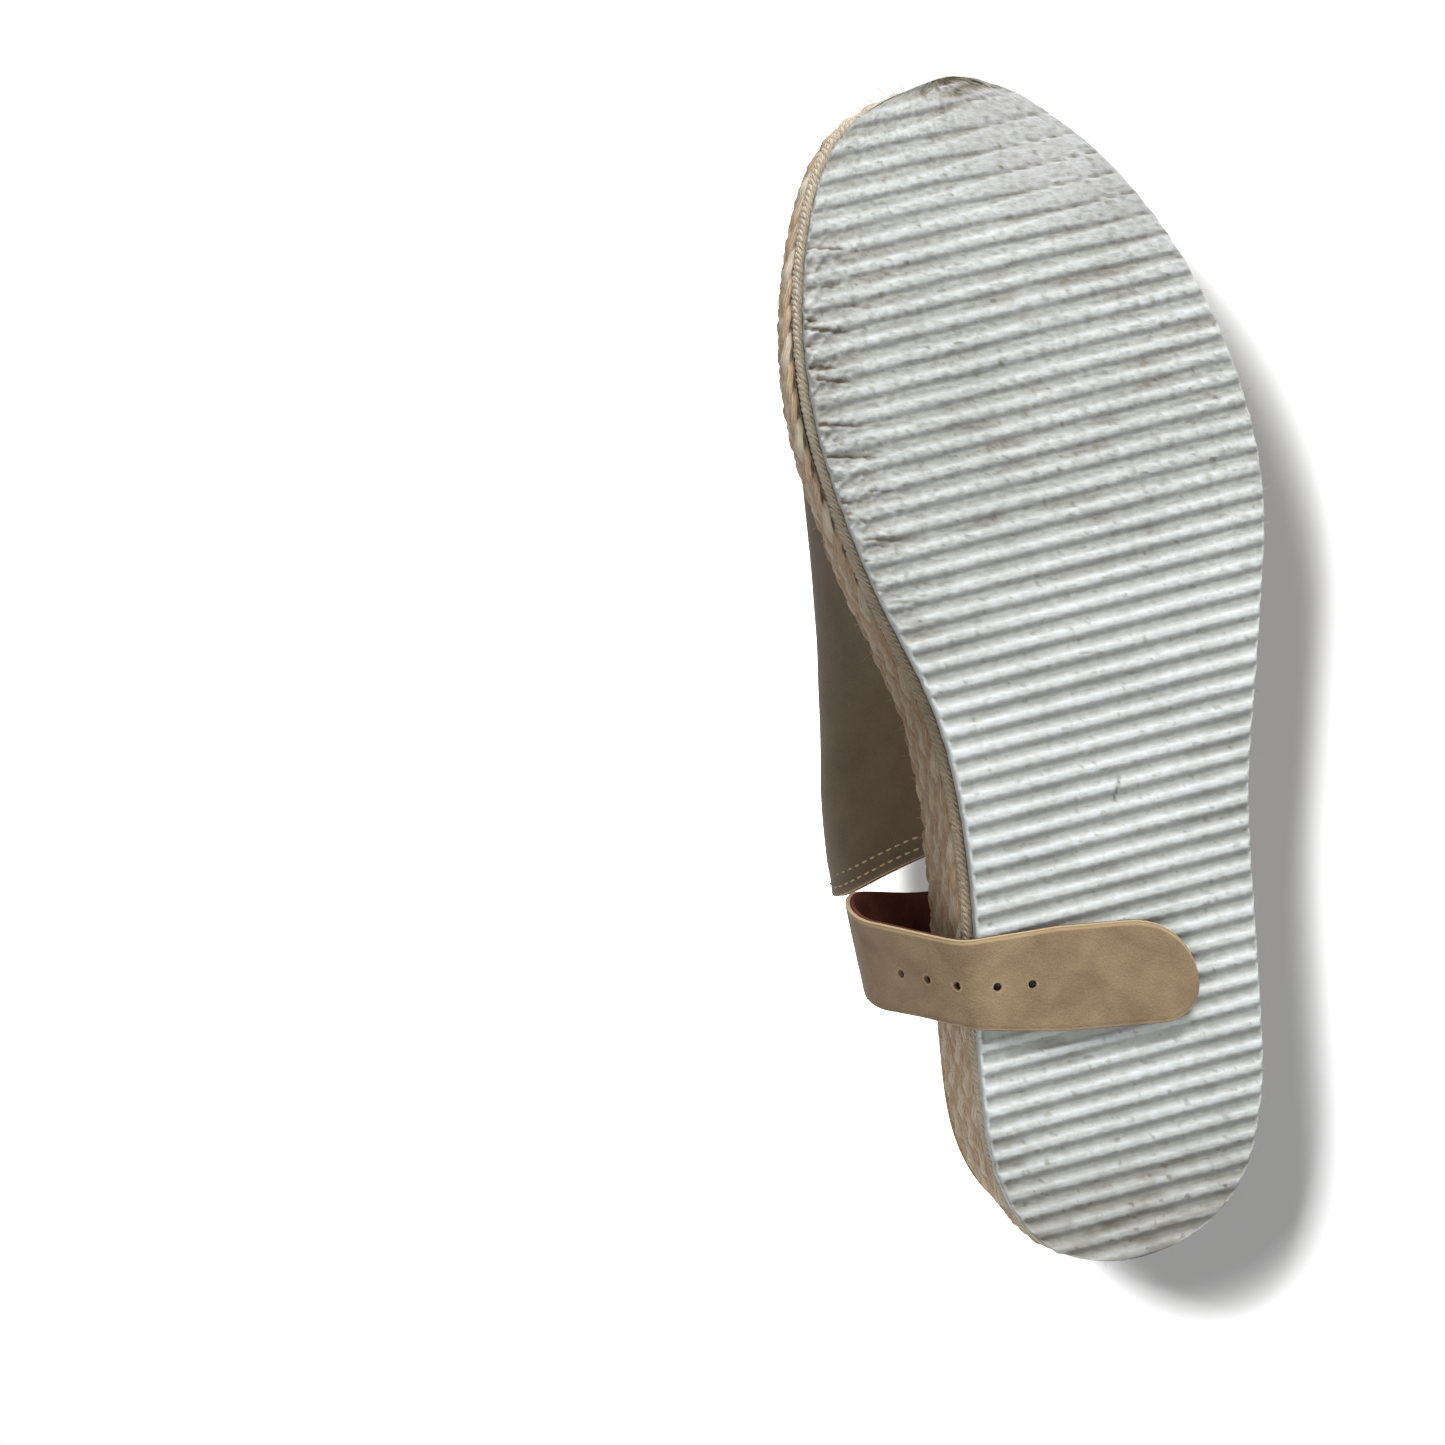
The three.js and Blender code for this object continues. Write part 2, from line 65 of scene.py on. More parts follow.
HEEL_LINE = 130.0                # row y of the back of the heel
SOLE_THICK = 4.5
HEEL_HEIGHT, BALL_HEIGHT = 46.0, 18.5
SHANK_FROM, SHANK_TO = 68.0, 188.0
SPRING_FROM, SPRING_LENGTH, SPRING_LIFT = 195.0, 65.0, 4.0
PITCH_HEEL, PITCH_TOE, RIB_SLOPE = 4.6, 5.45, math.tan(math.radians(6.8))
RIB_DEPTH = 1.15
SOLE_LENGTH = 260.0
BAND_PITCH, BAND_COUNT = 7.0, 6
STRAND_WAVE = 19.0               # length of one crossing of the braid
LEATHER, LINING = 1.15, 0.95
CUT_EDGE_BEVEL, CUT_EDGE_ANGLE = 0.28, 50   # millimetres and degrees

TREAD_Z = 2.7                    # the strap under the sole holds the tread this high
WEDGE_Z = TREAD_Z + HEEL_HEIGHT


def smoothstep(value, low, high):
    """Rises smoothly from 0 at low to 1 at high."""
    t = np.clip((np.asarray(value, float) - low) / (high - low), 0, 1)
    return t * t * (3 - 2 * t)


def along_of(y):
    """Distance from the back of the heel."""
    return HEEL_LINE - y


def toe_spring(y):
    """How far the sole curls up towards the toe."""
    t = np.clip(along_of(y) - SPRING_FROM, 0, None) / SPRING_LENGTH
    return SPRING_LIFT * t * t


def wedge_top(y):
    """The wedge's height over the tread."""
    fall = smoothstep(along_of(y), SHANK_FROM, SHANK_TO)
    return HEEL_HEIGHT - (HEEL_HEIGHT - BALL_HEIGHT) * fall


def deck(y):
    """Height of the wedge's top over the floor."""
    return TREAD_Z + wedge_top(y) + toe_spring(y)


def rough(x, y, scale_x, scale_y, seed, octaves=3):
    """Fractal noise, about -1 to 1, over a grid of places in millimetres."""
    places = zip(x.ravel() * scale_x, y.ravel() * scale_y)
    flat = [noise.fractal(Vector((a, b, seed)), 1.0, 2.0, octaves) for a, b in places]
    return np.array(flat).reshape(x.shape)


def unit(vectors):
    """Vectors brought to length 1."""
    return vectors / np.maximum(np.linalg.norm(vectors, axis=-1, keepdims=True), 1e-9)


def run_along(path):
    """Distance along a path at each of its points."""
    return np.concatenate([[0], np.cumsum(np.linalg.norm(np.diff(path, axis=0), axis=1))])


def resample(path, run, places):
    """Points of a path at given distances along it."""
    return np.stack([np.interp(places, run, column) for column in path.T], -1)


def raised(plan, height):
    """Points in space from complex plan positions and their heights."""
    return np.stack(np.broadcast_arrays(plan.real, plan.imag, height), -1)


def crossed(first, second):
    """Every pair of two runs of values, as a grid."""
    return np.stack(np.meshgrid(first, second, indexing="ij"), -1)


def eased(count, share):
    """Values from -1 to 1, closer together towards both ends."""
    even = np.linspace(-1, 1, count)
    return np.sin(even * math.pi / 2) * share + even * (1 - share)


# ---- Plan outlines, read from the frame ------------------------------------------------


class Outline:
    """A closed plan curve round a CAD node at one height: even points and outward normals."""

    RAYS, SPACING, SOFTEN, REACH = 1440, 1.0, 4.0, 0.3

    def __init__(self, node, z):
        mesh = frame["nodes"][node].data
        corners = [v.co for v in mesh.vertices]
        tree = BVHTree.FromPolygons(corners, [p.vertices for p in mesh.polygons])
        hits = []
        for i in range(self.RAYS):
            angle = 2 * math.pi * i / self.RAYS
            out = Vector((math.cos(angle), math.sin(angle), 0))
            hit = tree.ray_cast(out * self.REACH + Vector((0, 0, z * MM)), -out)[0]
            hits.append(complex(hit.x, hit.y) / MM)
        hits = np.array(hits + hits[:1])
        run = np.concatenate([[0], np.cumsum(abs(np.diff(hits)))])
        self.length = run[-1]
        count = round(self.length / self.SPACING)
        even = np.linspace(0, self.length, count, endpoint=False)
        points = np.interp(even, run, hits.real) + 1j * np.interp(even, run, hits.imag)
        waves = np.fft.fftfreq(count, d=self.length / count)
        calm = np.exp(-0.5 * (2 * math.pi * waves * self.SOFTEN) ** 2)
        self.points = np.fft.ifft(np.fft.fft(points) * calm)
        tangent = np.roll(self.points, -1) - np.roll(self.points, 1)
        self.normals = -1j * tangent / abs(tangent)
        self.run = even

    def at(self, run, grow=0.0):
        """Points and normals at distances along the curve, moved out by grow."""
        run = np.mod(run, self.length)
        ring = np.append(self.run, self.length)

        def pick(values):
            looped = np.append(values, values[0])
            return np.interp(run, ring, looped.real) + 1j * np.interp(run, ring, looped.imag)

        normals = pick(self.normals)
        normals = normals / abs(normals)
        return pick(self.points) + normals * grow, normals

    def edge(self, side, y):
        """Where the curve's inner (-1) or outer (+1) side passes a row y."""
        front, back = np.argmin(self.points.imag), np.argmax(self.points.imag)
        order = np.roll(self.points, -front)
        split = (back - front) % len(order)
        outer, inner = order[: split + 1], order[split:]
        chain = outer if side > 0 else inner[::-1]
        rise = np.maximum.accumulate(chain.imag)
        return np.interp(y, rise, chain.real)

    def run_at(self, side, y):
        """The distance along the curve where one side passes a row y."""
        miss = abs(self.points.imag - y) + 1000 * (np.sign(self.points.real) != side)
        return self.run[np.argmin(miss)]


SOLE = Outline("outsole", 7.0)
WALL = Outline("jute_braid_1", 13.0)

# ---- Mesh building ---------------------------------------------------------------------


class Build:
    """Collects grids of points, in millimetres, into one mesh object."""

    def __init__(self):
        self.points, self.faces, self.uvs, self.tones, self.count = [], [], [], [], 0

    def grid(self, points, uv, wrap_u=False, wrap_v=False, flip=False, tone=0.0):
        """Adds a grid of quads, joined up round either direction if asked."""
        n, m = points.shape[:2]
        rows, columns = (n if wrap_u else n - 1), (m if wrap_v else m - 1)
        i, j = np.meshgrid(np.arange(rows), np.arange(columns), indexing="ij")
        i2, j2 = (i + 1) % n, (j + 1) % m
        quads = np.stack([i * m + j, i2 * m + j, i2 * m + j2, i * m + j2], -1)
        quads = quads.reshape(-1, 4) + self.count
        corner = np.stack([uv[i, j], uv[i + 1, j], uv[i + 1, j + 1], uv[i, j + 1]], 2)
        corner = corner.reshape(-1, 4, 2)
        if flip:
            quads, corner = quads[:, ::-1], corner[:, ::-1]
        self.points.append(points.reshape(-1, 3))
        self.faces.append(quads)
        self.uvs.append(corner)
        self.tones.append(np.broadcast_to(tone, (n, m)).ravel())
        self.count += n * m

    def tube(self, path, side, up, radius, sides, closed=False, squeeze=1.0, tone=0.0):
        """A tube along a path, with its section spanned by two directions at each point."""
        count = len(path)
        radius = np.broadcast_to(np.asarray(radius, float), (count,)).copy()
        if not closed:
            radius[0] = radius[-1] = 0.02
        angle = 2 * math.pi * np.arange(sides) / sides
        wheel = side[:, None] * np.cos(angle)[:, None]
        wheel = wheel + up[:, None] * (squeeze * np.sin(angle))[:, None]
        points = path[:, None] + wheel * radius[:, None, None]
        step = np.linalg.norm(np.diff(path, axis=0, append=path[:1]), axis=1)
        run = np.concatenate([[0], np.cumsum(step)])
        tones = np.broadcast_to(np.asarray(tone, float).reshape(-1, 1), (count, sides))
        uv = crossed(run, np.arange(sides + 1) / sides)
        self.grid(points, uv, wrap_u=closed, wrap_v=True, tone=tones)

    def finish(self, name, *materials):
        """Makes the object from all that was added."""
        points = np.concatenate(self.points) * MM
        faces = np.concatenate(self.faces)
        mesh = bpy.data.meshes.new(name)
        mesh.from_pydata(points.tolist(), [], faces.tolist())
        layer = mesh.uv_layers.new(name="UVMap")
        layer.data.foreach_set("uv", np.concatenate(self.uvs).astype(np.float32).ravel())
        tones = mesh.attributes.new("tone", "FLOAT", "POINT")
        tones.data.foreach_set("value", np.concatenate(self.tones).astype(np.float32))
        mesh.validate()
        for material in materials:
            mesh.materials.append(material)
        thing = bpy.data.objects.new(name, mesh)
        bpy.context.scene.collection.objects.link(thing)
        smooth(thing)
        return thing


def smooth(thing, sharp=None):
    """Smooth shading, with edges sharper than an angle in degrees kept crisp."""
    mesh = thing.data
    mesh.polygons.foreach_set("use_smooth", [True] * len(mesh.polygons))
    if sharp:
        work = bmesh.new()
        work.from_mesh(mesh)
        for edge in work.edges:
            bent = len(edge.link_faces) == 2 and edge.calc_face_angle(0) > math.radians(sharp)
            edge.smooth = not bent
        work.to_mesh(mesh)
        work.free()
    mesh.update()


def settle(thing):
    """Applies an object's modifiers."""
    graph = bpy.context.evaluated_depsgraph_get()
    mesh = bpy.data.meshes.new_from_object(
        thing.evaluated_get(graph), preserve_all_data_layers=True, depsgraph=graph)
    thing.modifiers.clear()
    thing.data = mesh


def thicken(thing, thickness):
    """Gives a single sheet its thickness, inwards from its front, with softened cut edges."""
    solid = thing.modifiers.new("thickness", "SOLIDIFY")
    solid.thickness = thickness * MM
    solid.offset = -1
    solid.use_even_offset = False
    solid.material_offset_rim = 1
    soft = thing.modifiers.new("edge", "BEVEL")
    soft.width = CUT_EDGE_BEVEL * MM
    soft.segments = 2
    soft.limit_method = "ANGLE"
    soft.angle_limit = math.radians(CUT_EDGE_ANGLE)
    settle(thing)
    smooth(thing)


def sheet_normals(points):
    """Unit normals of a grid of points."""
    return unit(np.cross(np.gradient(points, axis=0), np.gradient(points, axis=1)))


def ride(thing, body, slot, *nodes):
    """Puts a piece on its body, in place of the CAD nodes it stands for; slot is not used."""
    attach(thing, body)
    if nodes:
        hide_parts(*nodes)


# ---- Materials -------------------------------------------------------------------------


def srgb(red, green, blue):
    """A linear colour from 0-255 display values."""
    linear = [((c / 255 + 0.055) / 1.055) ** 2.4 for c in (red, green, blue)]
    return (*linear, 1.0)


WHITE = srgb(255, 255, 255)


class Shade:
    """A Principled material with short calls for its procedural nodes."""

    def __init__(self, name, roughness, specular, metallic=0.0, sheen=0.0, coords="UV"):
        self.material = bpy.data.materials.new(name)
        self.material.use_nodes = True
        self.tree = self.material.node_tree
        self.shader = self.tree.nodes["Principled BSDF"]
        self.set("Roughness", roughness)
        self.set("Specular IOR Level", specular)
        self.set("Metallic", metallic)
        if sheen:
            self.set("Sheen Weight", sheen)
            self.set("Sheen Roughness", 0.5)
        place = self.node("ShaderNodeTexCoord")
        scale = self.node("ShaderNodeMapping")
        per_mm = 1.0 if coords == "UV" else 1 / MM
        scale.inputs["Scale"].default_value = [per_mm] * 3
        self.link(place.outputs[coords], scale.inputs["Vector"])
        self.vector = scale.outputs["Vector"]
        self.normal = None

    def set(self, socket, value):
        self.shader.inputs[socket].default_value = value

    def node(self, kind, **settings):
        made = self.tree.nodes.new(kind)
        for key, value in settings.items():
            setattr(made, key, value)
        return made

    def link(self, source, target):
        self.tree.links.new(source, target)

    def stretched(self, *scale):
        mapping = self.node("ShaderNodeMapping")
        mapping.inputs["Scale"].default_value = scale
        self.link(self.vector, mapping.inputs["Vector"])
        return mapping.outputs["Vector"]

    def noise(self, scale, detail=4.0, vector=None, distortion=0.0, roughness=0.55):
        made = self.node("ShaderNodeTexNoise")
        made.inputs["Scale"].default_value = scale
        made.inputs["Detail"].default_value = detail
        made.inputs["Distortion"].default_value = distortion
        made.inputs["Roughness"].default_value = roughness
        self.link(vector or self.vector, made.inputs["Vector"])
        return made.outputs["Fac"]

    def cells(self, scale, vector=None, feature="F1"):
        made = self.node("ShaderNodeTexVoronoi", feature=feature)
        made.inputs["Scale"].default_value = scale
        self.link(vector or self.vector, made.inputs["Vector"])
        return made.outputs["Distance"]

    def tone(self, name="tone"):
        return self.node("ShaderNodeAttribute", attribute_name=name).outputs["Fac"]

    def ramp(self, factor, *stops):
        made = self.node("ShaderNodeValToRGB")
        ramp = made.color_ramp
        while len(ramp.elements) < len(stops):
            ramp.elements.new(0.5)
        for element, (position, colour) in zip(ramp.elements, stops):
            element.position = position
            element.color = colour if hasattr(colour, "__len__") else (colour, colour, colour, 1)
        self.link(factor, made.inputs["Fac"])
        return made.outputs["Color"]

    def feed(self, value, socket):
        """Links an output to a socket, or sets the socket to a constant."""
        if isinstance(value, bpy.types.NodeSocket):
            self.link(value, socket)
        else:
            socket.default_value = value

    def mix(self, factor, first, second, blend="MIX"):
        made = self.node("ShaderNodeMix", data_type="RGBA", blend_type=blend)
        for value, k in ((factor, 0), (first, 6), (second, 7)):
            self.feed(value, made.inputs[k])
        return made.outputs[2]

    def tint(self, strength, body, shade):
        """A colour multiplied by another to some strength."""
        return self.mix(strength, body, shade, "MULTIPLY")

    def colour(self, output):
        self.link(output, self.shader.inputs["Base Color"])

    def roughness(self, factor, low, high):
        made = self.node("ShaderNodeMapRange")
        made.inputs["To Min"].default_value = low
        made.inputs["To Max"].default_value = high
        self.link(factor, made.inputs["Value"])
        self.link(made.outputs["Result"], self.shader.inputs["Roughness"])

    def bump(self, height, distance, strength=1.0):
        """Adds relief of so many millimetres on top of what is there."""
        made = self.node("ShaderNodeBump")
        made.inputs["Distance"].default_value = distance * MM
        made.inputs["Strength"].default_value = strength
        self.link(height, made.inputs["Height"])
        if self.normal:
            self.link(self.normal, made.inputs["Normal"])
        self.normal = made.outputs["Normal"]
        self.link(self.normal, self.shader.inputs["Normal"])


def crepe_rubber():
    """Pale worn crepe: bright crests, valleys painted greyer (dirty, and painted shade in the
    grooves), dirty patches with painted shade in the torn creases, and fine wear.
    """
    s = Shade("crepe_rubber", roughness=0.7, specular=0.35, coords="Object")
    valley = s.tone()
    grime_and_crease_shade = s.tone("grime_and_crease_shade")
    # the valleys are painted greyer: dirty, and painted shade in the grooves
    body = s.ramp(
        valley, (0.0, srgb(225, 230, 231)), (0.6, srgb(205, 207, 209)), (1.0, srgb(196, 199, 197)))
    cloud = s.ramp(s.noise(0.035, 5), (0.3, srgb(214, 216, 212)), (0.7, WHITE))
    body = s.tint(0.55, body, cloud)
    mottle = s.ramp(s.noise(0.45, 6, distortion=0.6), (0.35, srgb(224, 222, 214)), (0.62, WHITE))
    body = s.tint(0.6, body, mottle)
    streak = s.noise(1.3, 5, s.stretched(0.25, 1.2, 1))
    scuff = s.ramp(streak, (0.30, srgb(196, 194, 186)), (0.42, WHITE))
    body = s.tint(0.35, body, scuff)
    # dark where it is dirty, and painted shade in the torn creases
    body = s.mix(grime_and_crease_shade, body, srgb(112, 104, 88))
    s.colour(body)
    s.roughness(s.noise(0.8, 4), 0.55, 0.82)
    s.bump(s.noise(0.9, 6, s.stretched(0.35, 1.4, 1), distortion=0.4), 0.22, 0.6)
    s.bump(s.noise(5.0, 4), 0.07, 0.6)
    return s.material


def jute(name="jute", fuzz=False):
    """Twisted jute yarn: tan fibres, cream where the tone is high (a painted highlight on the braid's
    strands), and painted shade darkening the waist.
    """
    s = Shade(name, roughness=0.92, specular=0.15, sheen=0.15)
    fibre = s.noise(1.0, 6, s.stretched(0.45, 26.0, 1), roughness=0.7)
    base = s.ramp(
        fibre, (0.25, srgb(160, 136, 108)), (0.5, srgb(222, 200, 172)), (0.75, srgb(246, 232, 210)))
    patch = s.ramp(s.noise(0.12, 3), (0.35, srgb(196, 164, 138)), (0.65, srgb(255, 250, 240)))
    base = s.tint(0.4, base, patch)
    # cream where the tone is high: a painted highlight on the braid's strands, and the paler colour
    # of the rope and of loose hairs
    bleach_and_painted_highlight = s.ramp(s.tone(), (0.5, 0.0), (1.0, 0.8))
    base = s.mix(bleach_and_painted_highlight, base, srgb(240, 231, 210))
    place = s.node("ShaderNodeTexCoord")
    split = s.node("ShaderNodeSeparateXYZ")
    s.link(place.outputs["Object"], split.inputs[0])
    waist = s.node("ShaderNodeMapRange")
    waist.inputs["From Min"].default_value, waist.inputs["From Max"].default_value = -0.13, 0.13
    s.link(split.outputs["Y"], waist.inputs["Value"])
    # painted shade: the jute is darkened towards the waist, by the object's y
    painted_waist_shade = s.ramp(
        waist.outputs["Result"], (0.25, WHITE), (0.52, srgb(182, 174, 166)),
        (0.7, srgb(232, 226, 218)), (0.86, srgb(255, 253, 250)))
    base = s.tint(0.9, base, painted_waist_shade)
    s.colour(base)
    if not fuzz:
        s.bump(fibre, 0.5, 0.9)
        yarn = s.node("ShaderNodeTexWave", wave_type="BANDS", bands_direction="Y")
        yarn.inputs["Scale"].default_value = 0.9
        yarn.inputs["Distortion"].default_value = 0.8
        yarn.inputs["Detail"].default_value = 2
        s.link(s.stretched(0.12, 2.2, 1), yarn.inputs["Vector"])
        s.bump(yarn.outputs["Fac"], 0.4, 0.7)
    return s.material


def nubuck():
    """Tan nubuck leather: a short nap with grain and blotches, lighter where the tone is high (worn
    edges, and a painted highlight along the strap's toe-side edge), and darkened with painted shade
    where the tone is below zero.
    """
    s = Shade("nubuck", roughness=0.78, specular=0.22, sheen=0.25)
    blotch = s.noise(0.11, 4, distortion=0.5)
    body = s.ramp(
        blotch, (0.3, srgb(148, 124, 98)), (0.5, srgb(163, 139, 111)), (0.7, srgb(174, 152, 122)))
    fluff = s.noise(2.6, 6, roughness=0.7)
    nap = s.ramp(fluff, (0.3, srgb(206, 200, 190)), (0.7, srgb(255, 255, 252)))
    body = s.tint(0.75, body, nap)
    pores = s.ramp(s.cells(1.9), (0.0, srgb(150, 132, 112)), (0.28, WHITE))
    body = s.tint(0.35, body, pores)
    # lighter where the tone is high: worn edges, and on the strap a painted highlight along its
    # toe-side edge
    rubbed_and_painted_highlight = s.ramp(s.tone(), (0.3, 0.0), (1.0, 0.75))
    body = s.mix(rubbed_and_painted_highlight, body, srgb(196, 172, 132))
    # painted shade: where the tone is below zero the nubuck is darkened towards a dark brown
    flipped = s.node("ShaderNodeMath", operation="MULTIPLY")
    s.link(s.tone(), flipped.inputs[0])
    flipped.inputs[1].default_value = -1.0
    painted_shade = s.ramp(flipped.outputs[0], (0.0, 0.0), (0.9, 0.8))
    body = s.mix(painted_shade, body, srgb(70, 54, 34))
    s.colour(body)
    s.roughness(blotch, 0.68, 0.86)
    s.bump(s.noise(1.4, 6, distortion=0.3), 0.16, 0.55)
    s.bump(s.cells(1.9), 0.09, 0.5)
    s.bump(s.noise(7.0, 3), 0.05, 0.6)
    return s.material


def smooth_leather(name, dark, mid, pale, grain, roughness):
    """Dyed leather with a fine grain."""
    s = Shade(name, roughness=roughness, specular=0.4)
    blotch = s.noise(0.07, 4, distortion=0.4)
    body = s.ramp(blotch, (0.3, dark), (0.5, mid), (0.72, pale))
    fine = s.ramp(s.noise(1.7, 5), (0.3, srgb(205, 198, 190)), (0.7, WHITE))
    s.colour(s.tint(0.6, body, fine))
    s.roughness(blotch, roughness - 0.08, roughness + 0.14)
    s.bump(s.cells(grain, feature="SMOOTH_F1"), 0.14, 0.5)
    s.bump(s.noise(grain * 3, 5), 0.06, 0.5)
    return s.material


def cut_edge(name, dark, pale):
    """The raw, fibrous cut edge of leather."""
    s = Shade(name, roughness=0.8, specular=0.2)
    fibre = s.noise(1.6, 6, s.stretched(1.0, 3.0, 1))
    s.colour(s.ramp(fibre, (0.3, dark), (0.7, pale)))
    s.bump(fibre, 0.12, 0.6)
    return s.material


def thread():
    """Waxed sewing thread."""
    s = Shade("waxed_thread", roughness=0.6, specular=0.3)
    ply = s.noise(2.2, 4, s.stretched(1.0, 6.0, 1))
    s.colour(s.ramp(ply, (0.3, srgb(176, 150, 112)), (0.7, srgb(216, 194, 156))))
    s.bump(ply, 0.1, 0.8)
    return s.material


def pressed(name, dark, pale, scale):
    """Cork, fibreboard or foam: grains pressed together."""
    s = Shade(name, roughness=0.88, specular=0.15, coords="Object")
    grain = s.cells(scale)
    speck = s.noise(scale * 2.2, 4)
    body = s.ramp(grain, (0.1, dark), (0.6, pale))
    s.colour(s.tint(0.5, body, s.ramp(speck, (0.3, dark), (0.6, WHITE))))
    s.bump(grain, 0.3, 0.5)
    s.bump(speck, 0.12, 0.5)
    return s.material


def aged_brass():
    """Tarnished brass, brushed along its length."""
    s = Shade("aged_brass", roughness=0.36, specular=0.5, metallic=1.0, coords="Object")
    tarnish = s.noise(0.45, 6, distortion=0.5)
    s.colour(s.ramp(
        tarnish, (0.3, srgb(112, 92, 62)), (0.55, srgb(158, 134, 94)), (0.75, srgb(190, 168, 124))))
    s.roughness(tarnish, 0.26, 0.52)
    s.bump(s.noise(3.0, 5, s.stretched(1, 1, 4)), 0.05, 0.5)
    return s.material


CREPE = crepe_rubber()
JUTE = jute()
FUZZ = jute("jute_fibre", fuzz=True)
NUBUCK = nubuck()
NUBUCK_EDGE = cut_edge("nubuck_edge", srgb(150, 124, 88), srgb(196, 170, 128))
LINING_LEATHER = smooth_leather(
    "lining_leather", srgb(72, 32, 24), srgb(92, 44, 32), srgb(112, 62, 46), grain=1.1, roughness=0.6)
SOCK_LEATHER = smooth_leather(
    "sock_leather", srgb(84, 30, 26), srgb(104, 42, 36), srgb(126, 62, 52), grain=0.6, roughness=0.66)
THREAD = thread()
CORK = pressed("cork", srgb(112, 78, 48), srgb(176, 136, 92), 0.7)
BOARD = pressed("fibreboard", srgb(112, 84, 56), srgb(152, 122, 88), 1.4)
FOAM = pressed("foam", srgb(196, 186, 164), srgb(226, 218, 200), 2.4)
BRASS = aged_brass()

# ---- Outsole ---------------------------------------------------------------------------

ROW_STEP = 0.45
EDGE_WOBBLE = 0.22               # how far the sole's cut edge strays
CUT_AT = (8.6, 28.3)             # a small cut across one rib
TIP_STICKS_OUT = 1.9             # the frayed tip, past the sole's outline


def rib_phase(along):
    """How many ribs lie between the heel and a place along the sole."""
    growth = (PITCH_TOE - PITCH_HEEL) / SOLE_LENGTH
    return np.log((PITCH_HEEL + growth * along) / (PITCH_HEEL + growth * 4)) / growth


def sole_rows():
    """Row positions from toe to heel, closer together at both round ends."""
    front, back = SOLE.points.imag.min(), SOLE.points.imag.max()
    ease = np.array([0.02, 0.06, 0.12, 0.2, 0.3])
    middle = np.arange(front + 0.4, back - 0.4, ROW_STEP)
    return np.concatenate([front + ease, middle, back - ease[::-1]])


def tread_plan():
    """A grid over the sole in plan, with its distances from the inner and outer edge."""
    rows = sole_rows()
    inner = SOLE.edge(-1, rows) + EDGE_WOBBLE * rough(rows, rows, 0.3, 0.0, 51.0)
    outer = SOLE.edge(1, rows) + EDGE_WOBBLE * rough(rows, rows, 0.3, 0.0, 57.0)
    across = eased(161, 0.35)
    x = (inner + outer)[:, None] / 2 + (outer - inner)[:, None] / 2 * across
    y = np.repeat(rows[:, None], len(across), 1)
    return x, y, x - inner[:, None], outer[:, None] - x


class Wear:
    """Fields over the tread's grid: how worn, torn and dirty it is."""

    def __init__(self, x, y, to_inner):
        along = along_of(y)
        self.ball = smoothstep(along, 120, 178)
        front = smoothstep(along + 0.35 * x, 219, 240)
        self.toe = front * smoothstep(x + 0.25 * (along - 235), -16, 6)
        self.heel = 1 - smoothstep(along, 4, 40)
        self.wander = rough(x, y, 0.03, 0.06, 3.0)
        self.fray = rough(x, y, 0.12, 0.45, 9.0)
        self.pits = rough(x, y, 0.55, 1.1, 5.0, 4)
        behind_toes = 1 - smoothstep(along, 222, 240)
        self.ragged = self.ball * behind_toes * (1 - smoothstep(to_inner, 2, 19))
        self.hatch = smoothstep(rough(x + 0.9 * y, y - 0.7 * x, 0.5, 0.12, 33.0), 0.05, 0.35)
        self.scraps = abs(rough(x, y, 0.3, 0.8, 21.0))
        torn = smoothstep(rough(x, y - 0.16 * x, 0.05, 0.62, 40.0), 0.34, 0.52)
        self.tears = torn * self.ragged
        across_cut = x - CUT_AT[0] + 0.35 * (y - CUT_AT[1])
        self.cut = np.exp(-((across_cut / 0.28) ** 2)) * (abs(y - CUT_AT[1]) < 2.6)
        scuffed = smoothstep(along + 0.8 * self.fray, 254.4, 257.2)
        self.tip = scuffed * (1 - smoothstep(abs(x - 1), 11, 18))


def rib_shape(x, along, wear):
    """How far each place lies in a valley between ribs, and the crown on each rib."""
    phase = rib_phase(along - RIB_SLOPE * (x - 1.6)) + 0.03 * wear.wander
    phase = phase + wear.ball * (0.03 * wear.fray + 0.02 * wear.pits)
    phase = phase + 0.07 * wear.ragged * wear.fray
    off = abs(phase - np.round(phase))
    narrow = (0.32 + 0.03 * wear.ball + 0.02 * wear.wander) * (1 - wear.toe) + 0.05 * wear.toe
    soft = (0.10 + 0.08 * wear.ball) * (1 - wear.toe) + 0.045 * wear.toe
    valley = 1 - smoothstep(off, narrow - soft, narrow)
    up = np.clip((off - narrow) / (0.5 - narrow), 0, 1)
    return valley, 0.12 * (1 - valley) * np.sin(math.pi * up / 2)


def tread_relief(wear, valley, crown, rim, near):
    """How far the tread's surface lies above its lowest level."""
    depth = 0.86 - 0.26 * wear.ball - 0.1 * wear.heel + 0.1 * wear.wander
    z = RIB_DEPTH * depth * (1 - 0.45 * wear.toe) * valley * rim - crown * rim
    z = z + (0.05 + 0.12 * wear.ball) * wear.fray * (0.3 + 0.7 * valley)
    z = z + wear.ragged * (0.5 * wear.scraps - 0.45 * wear.hatch * (0.3 + valley))
    z = z + (0.05 + 0.11 * wear.ball + 0.05 * wear.heel) * wear.pits
    z = z + 0.5 * wear.cut + 0.55 * wear.tears + 0.7 * wear.tip * (0.6 + abs(wear.pits))
    return z + 0.6 * (1 - smoothstep(near, 0, 0.8)) ** 2


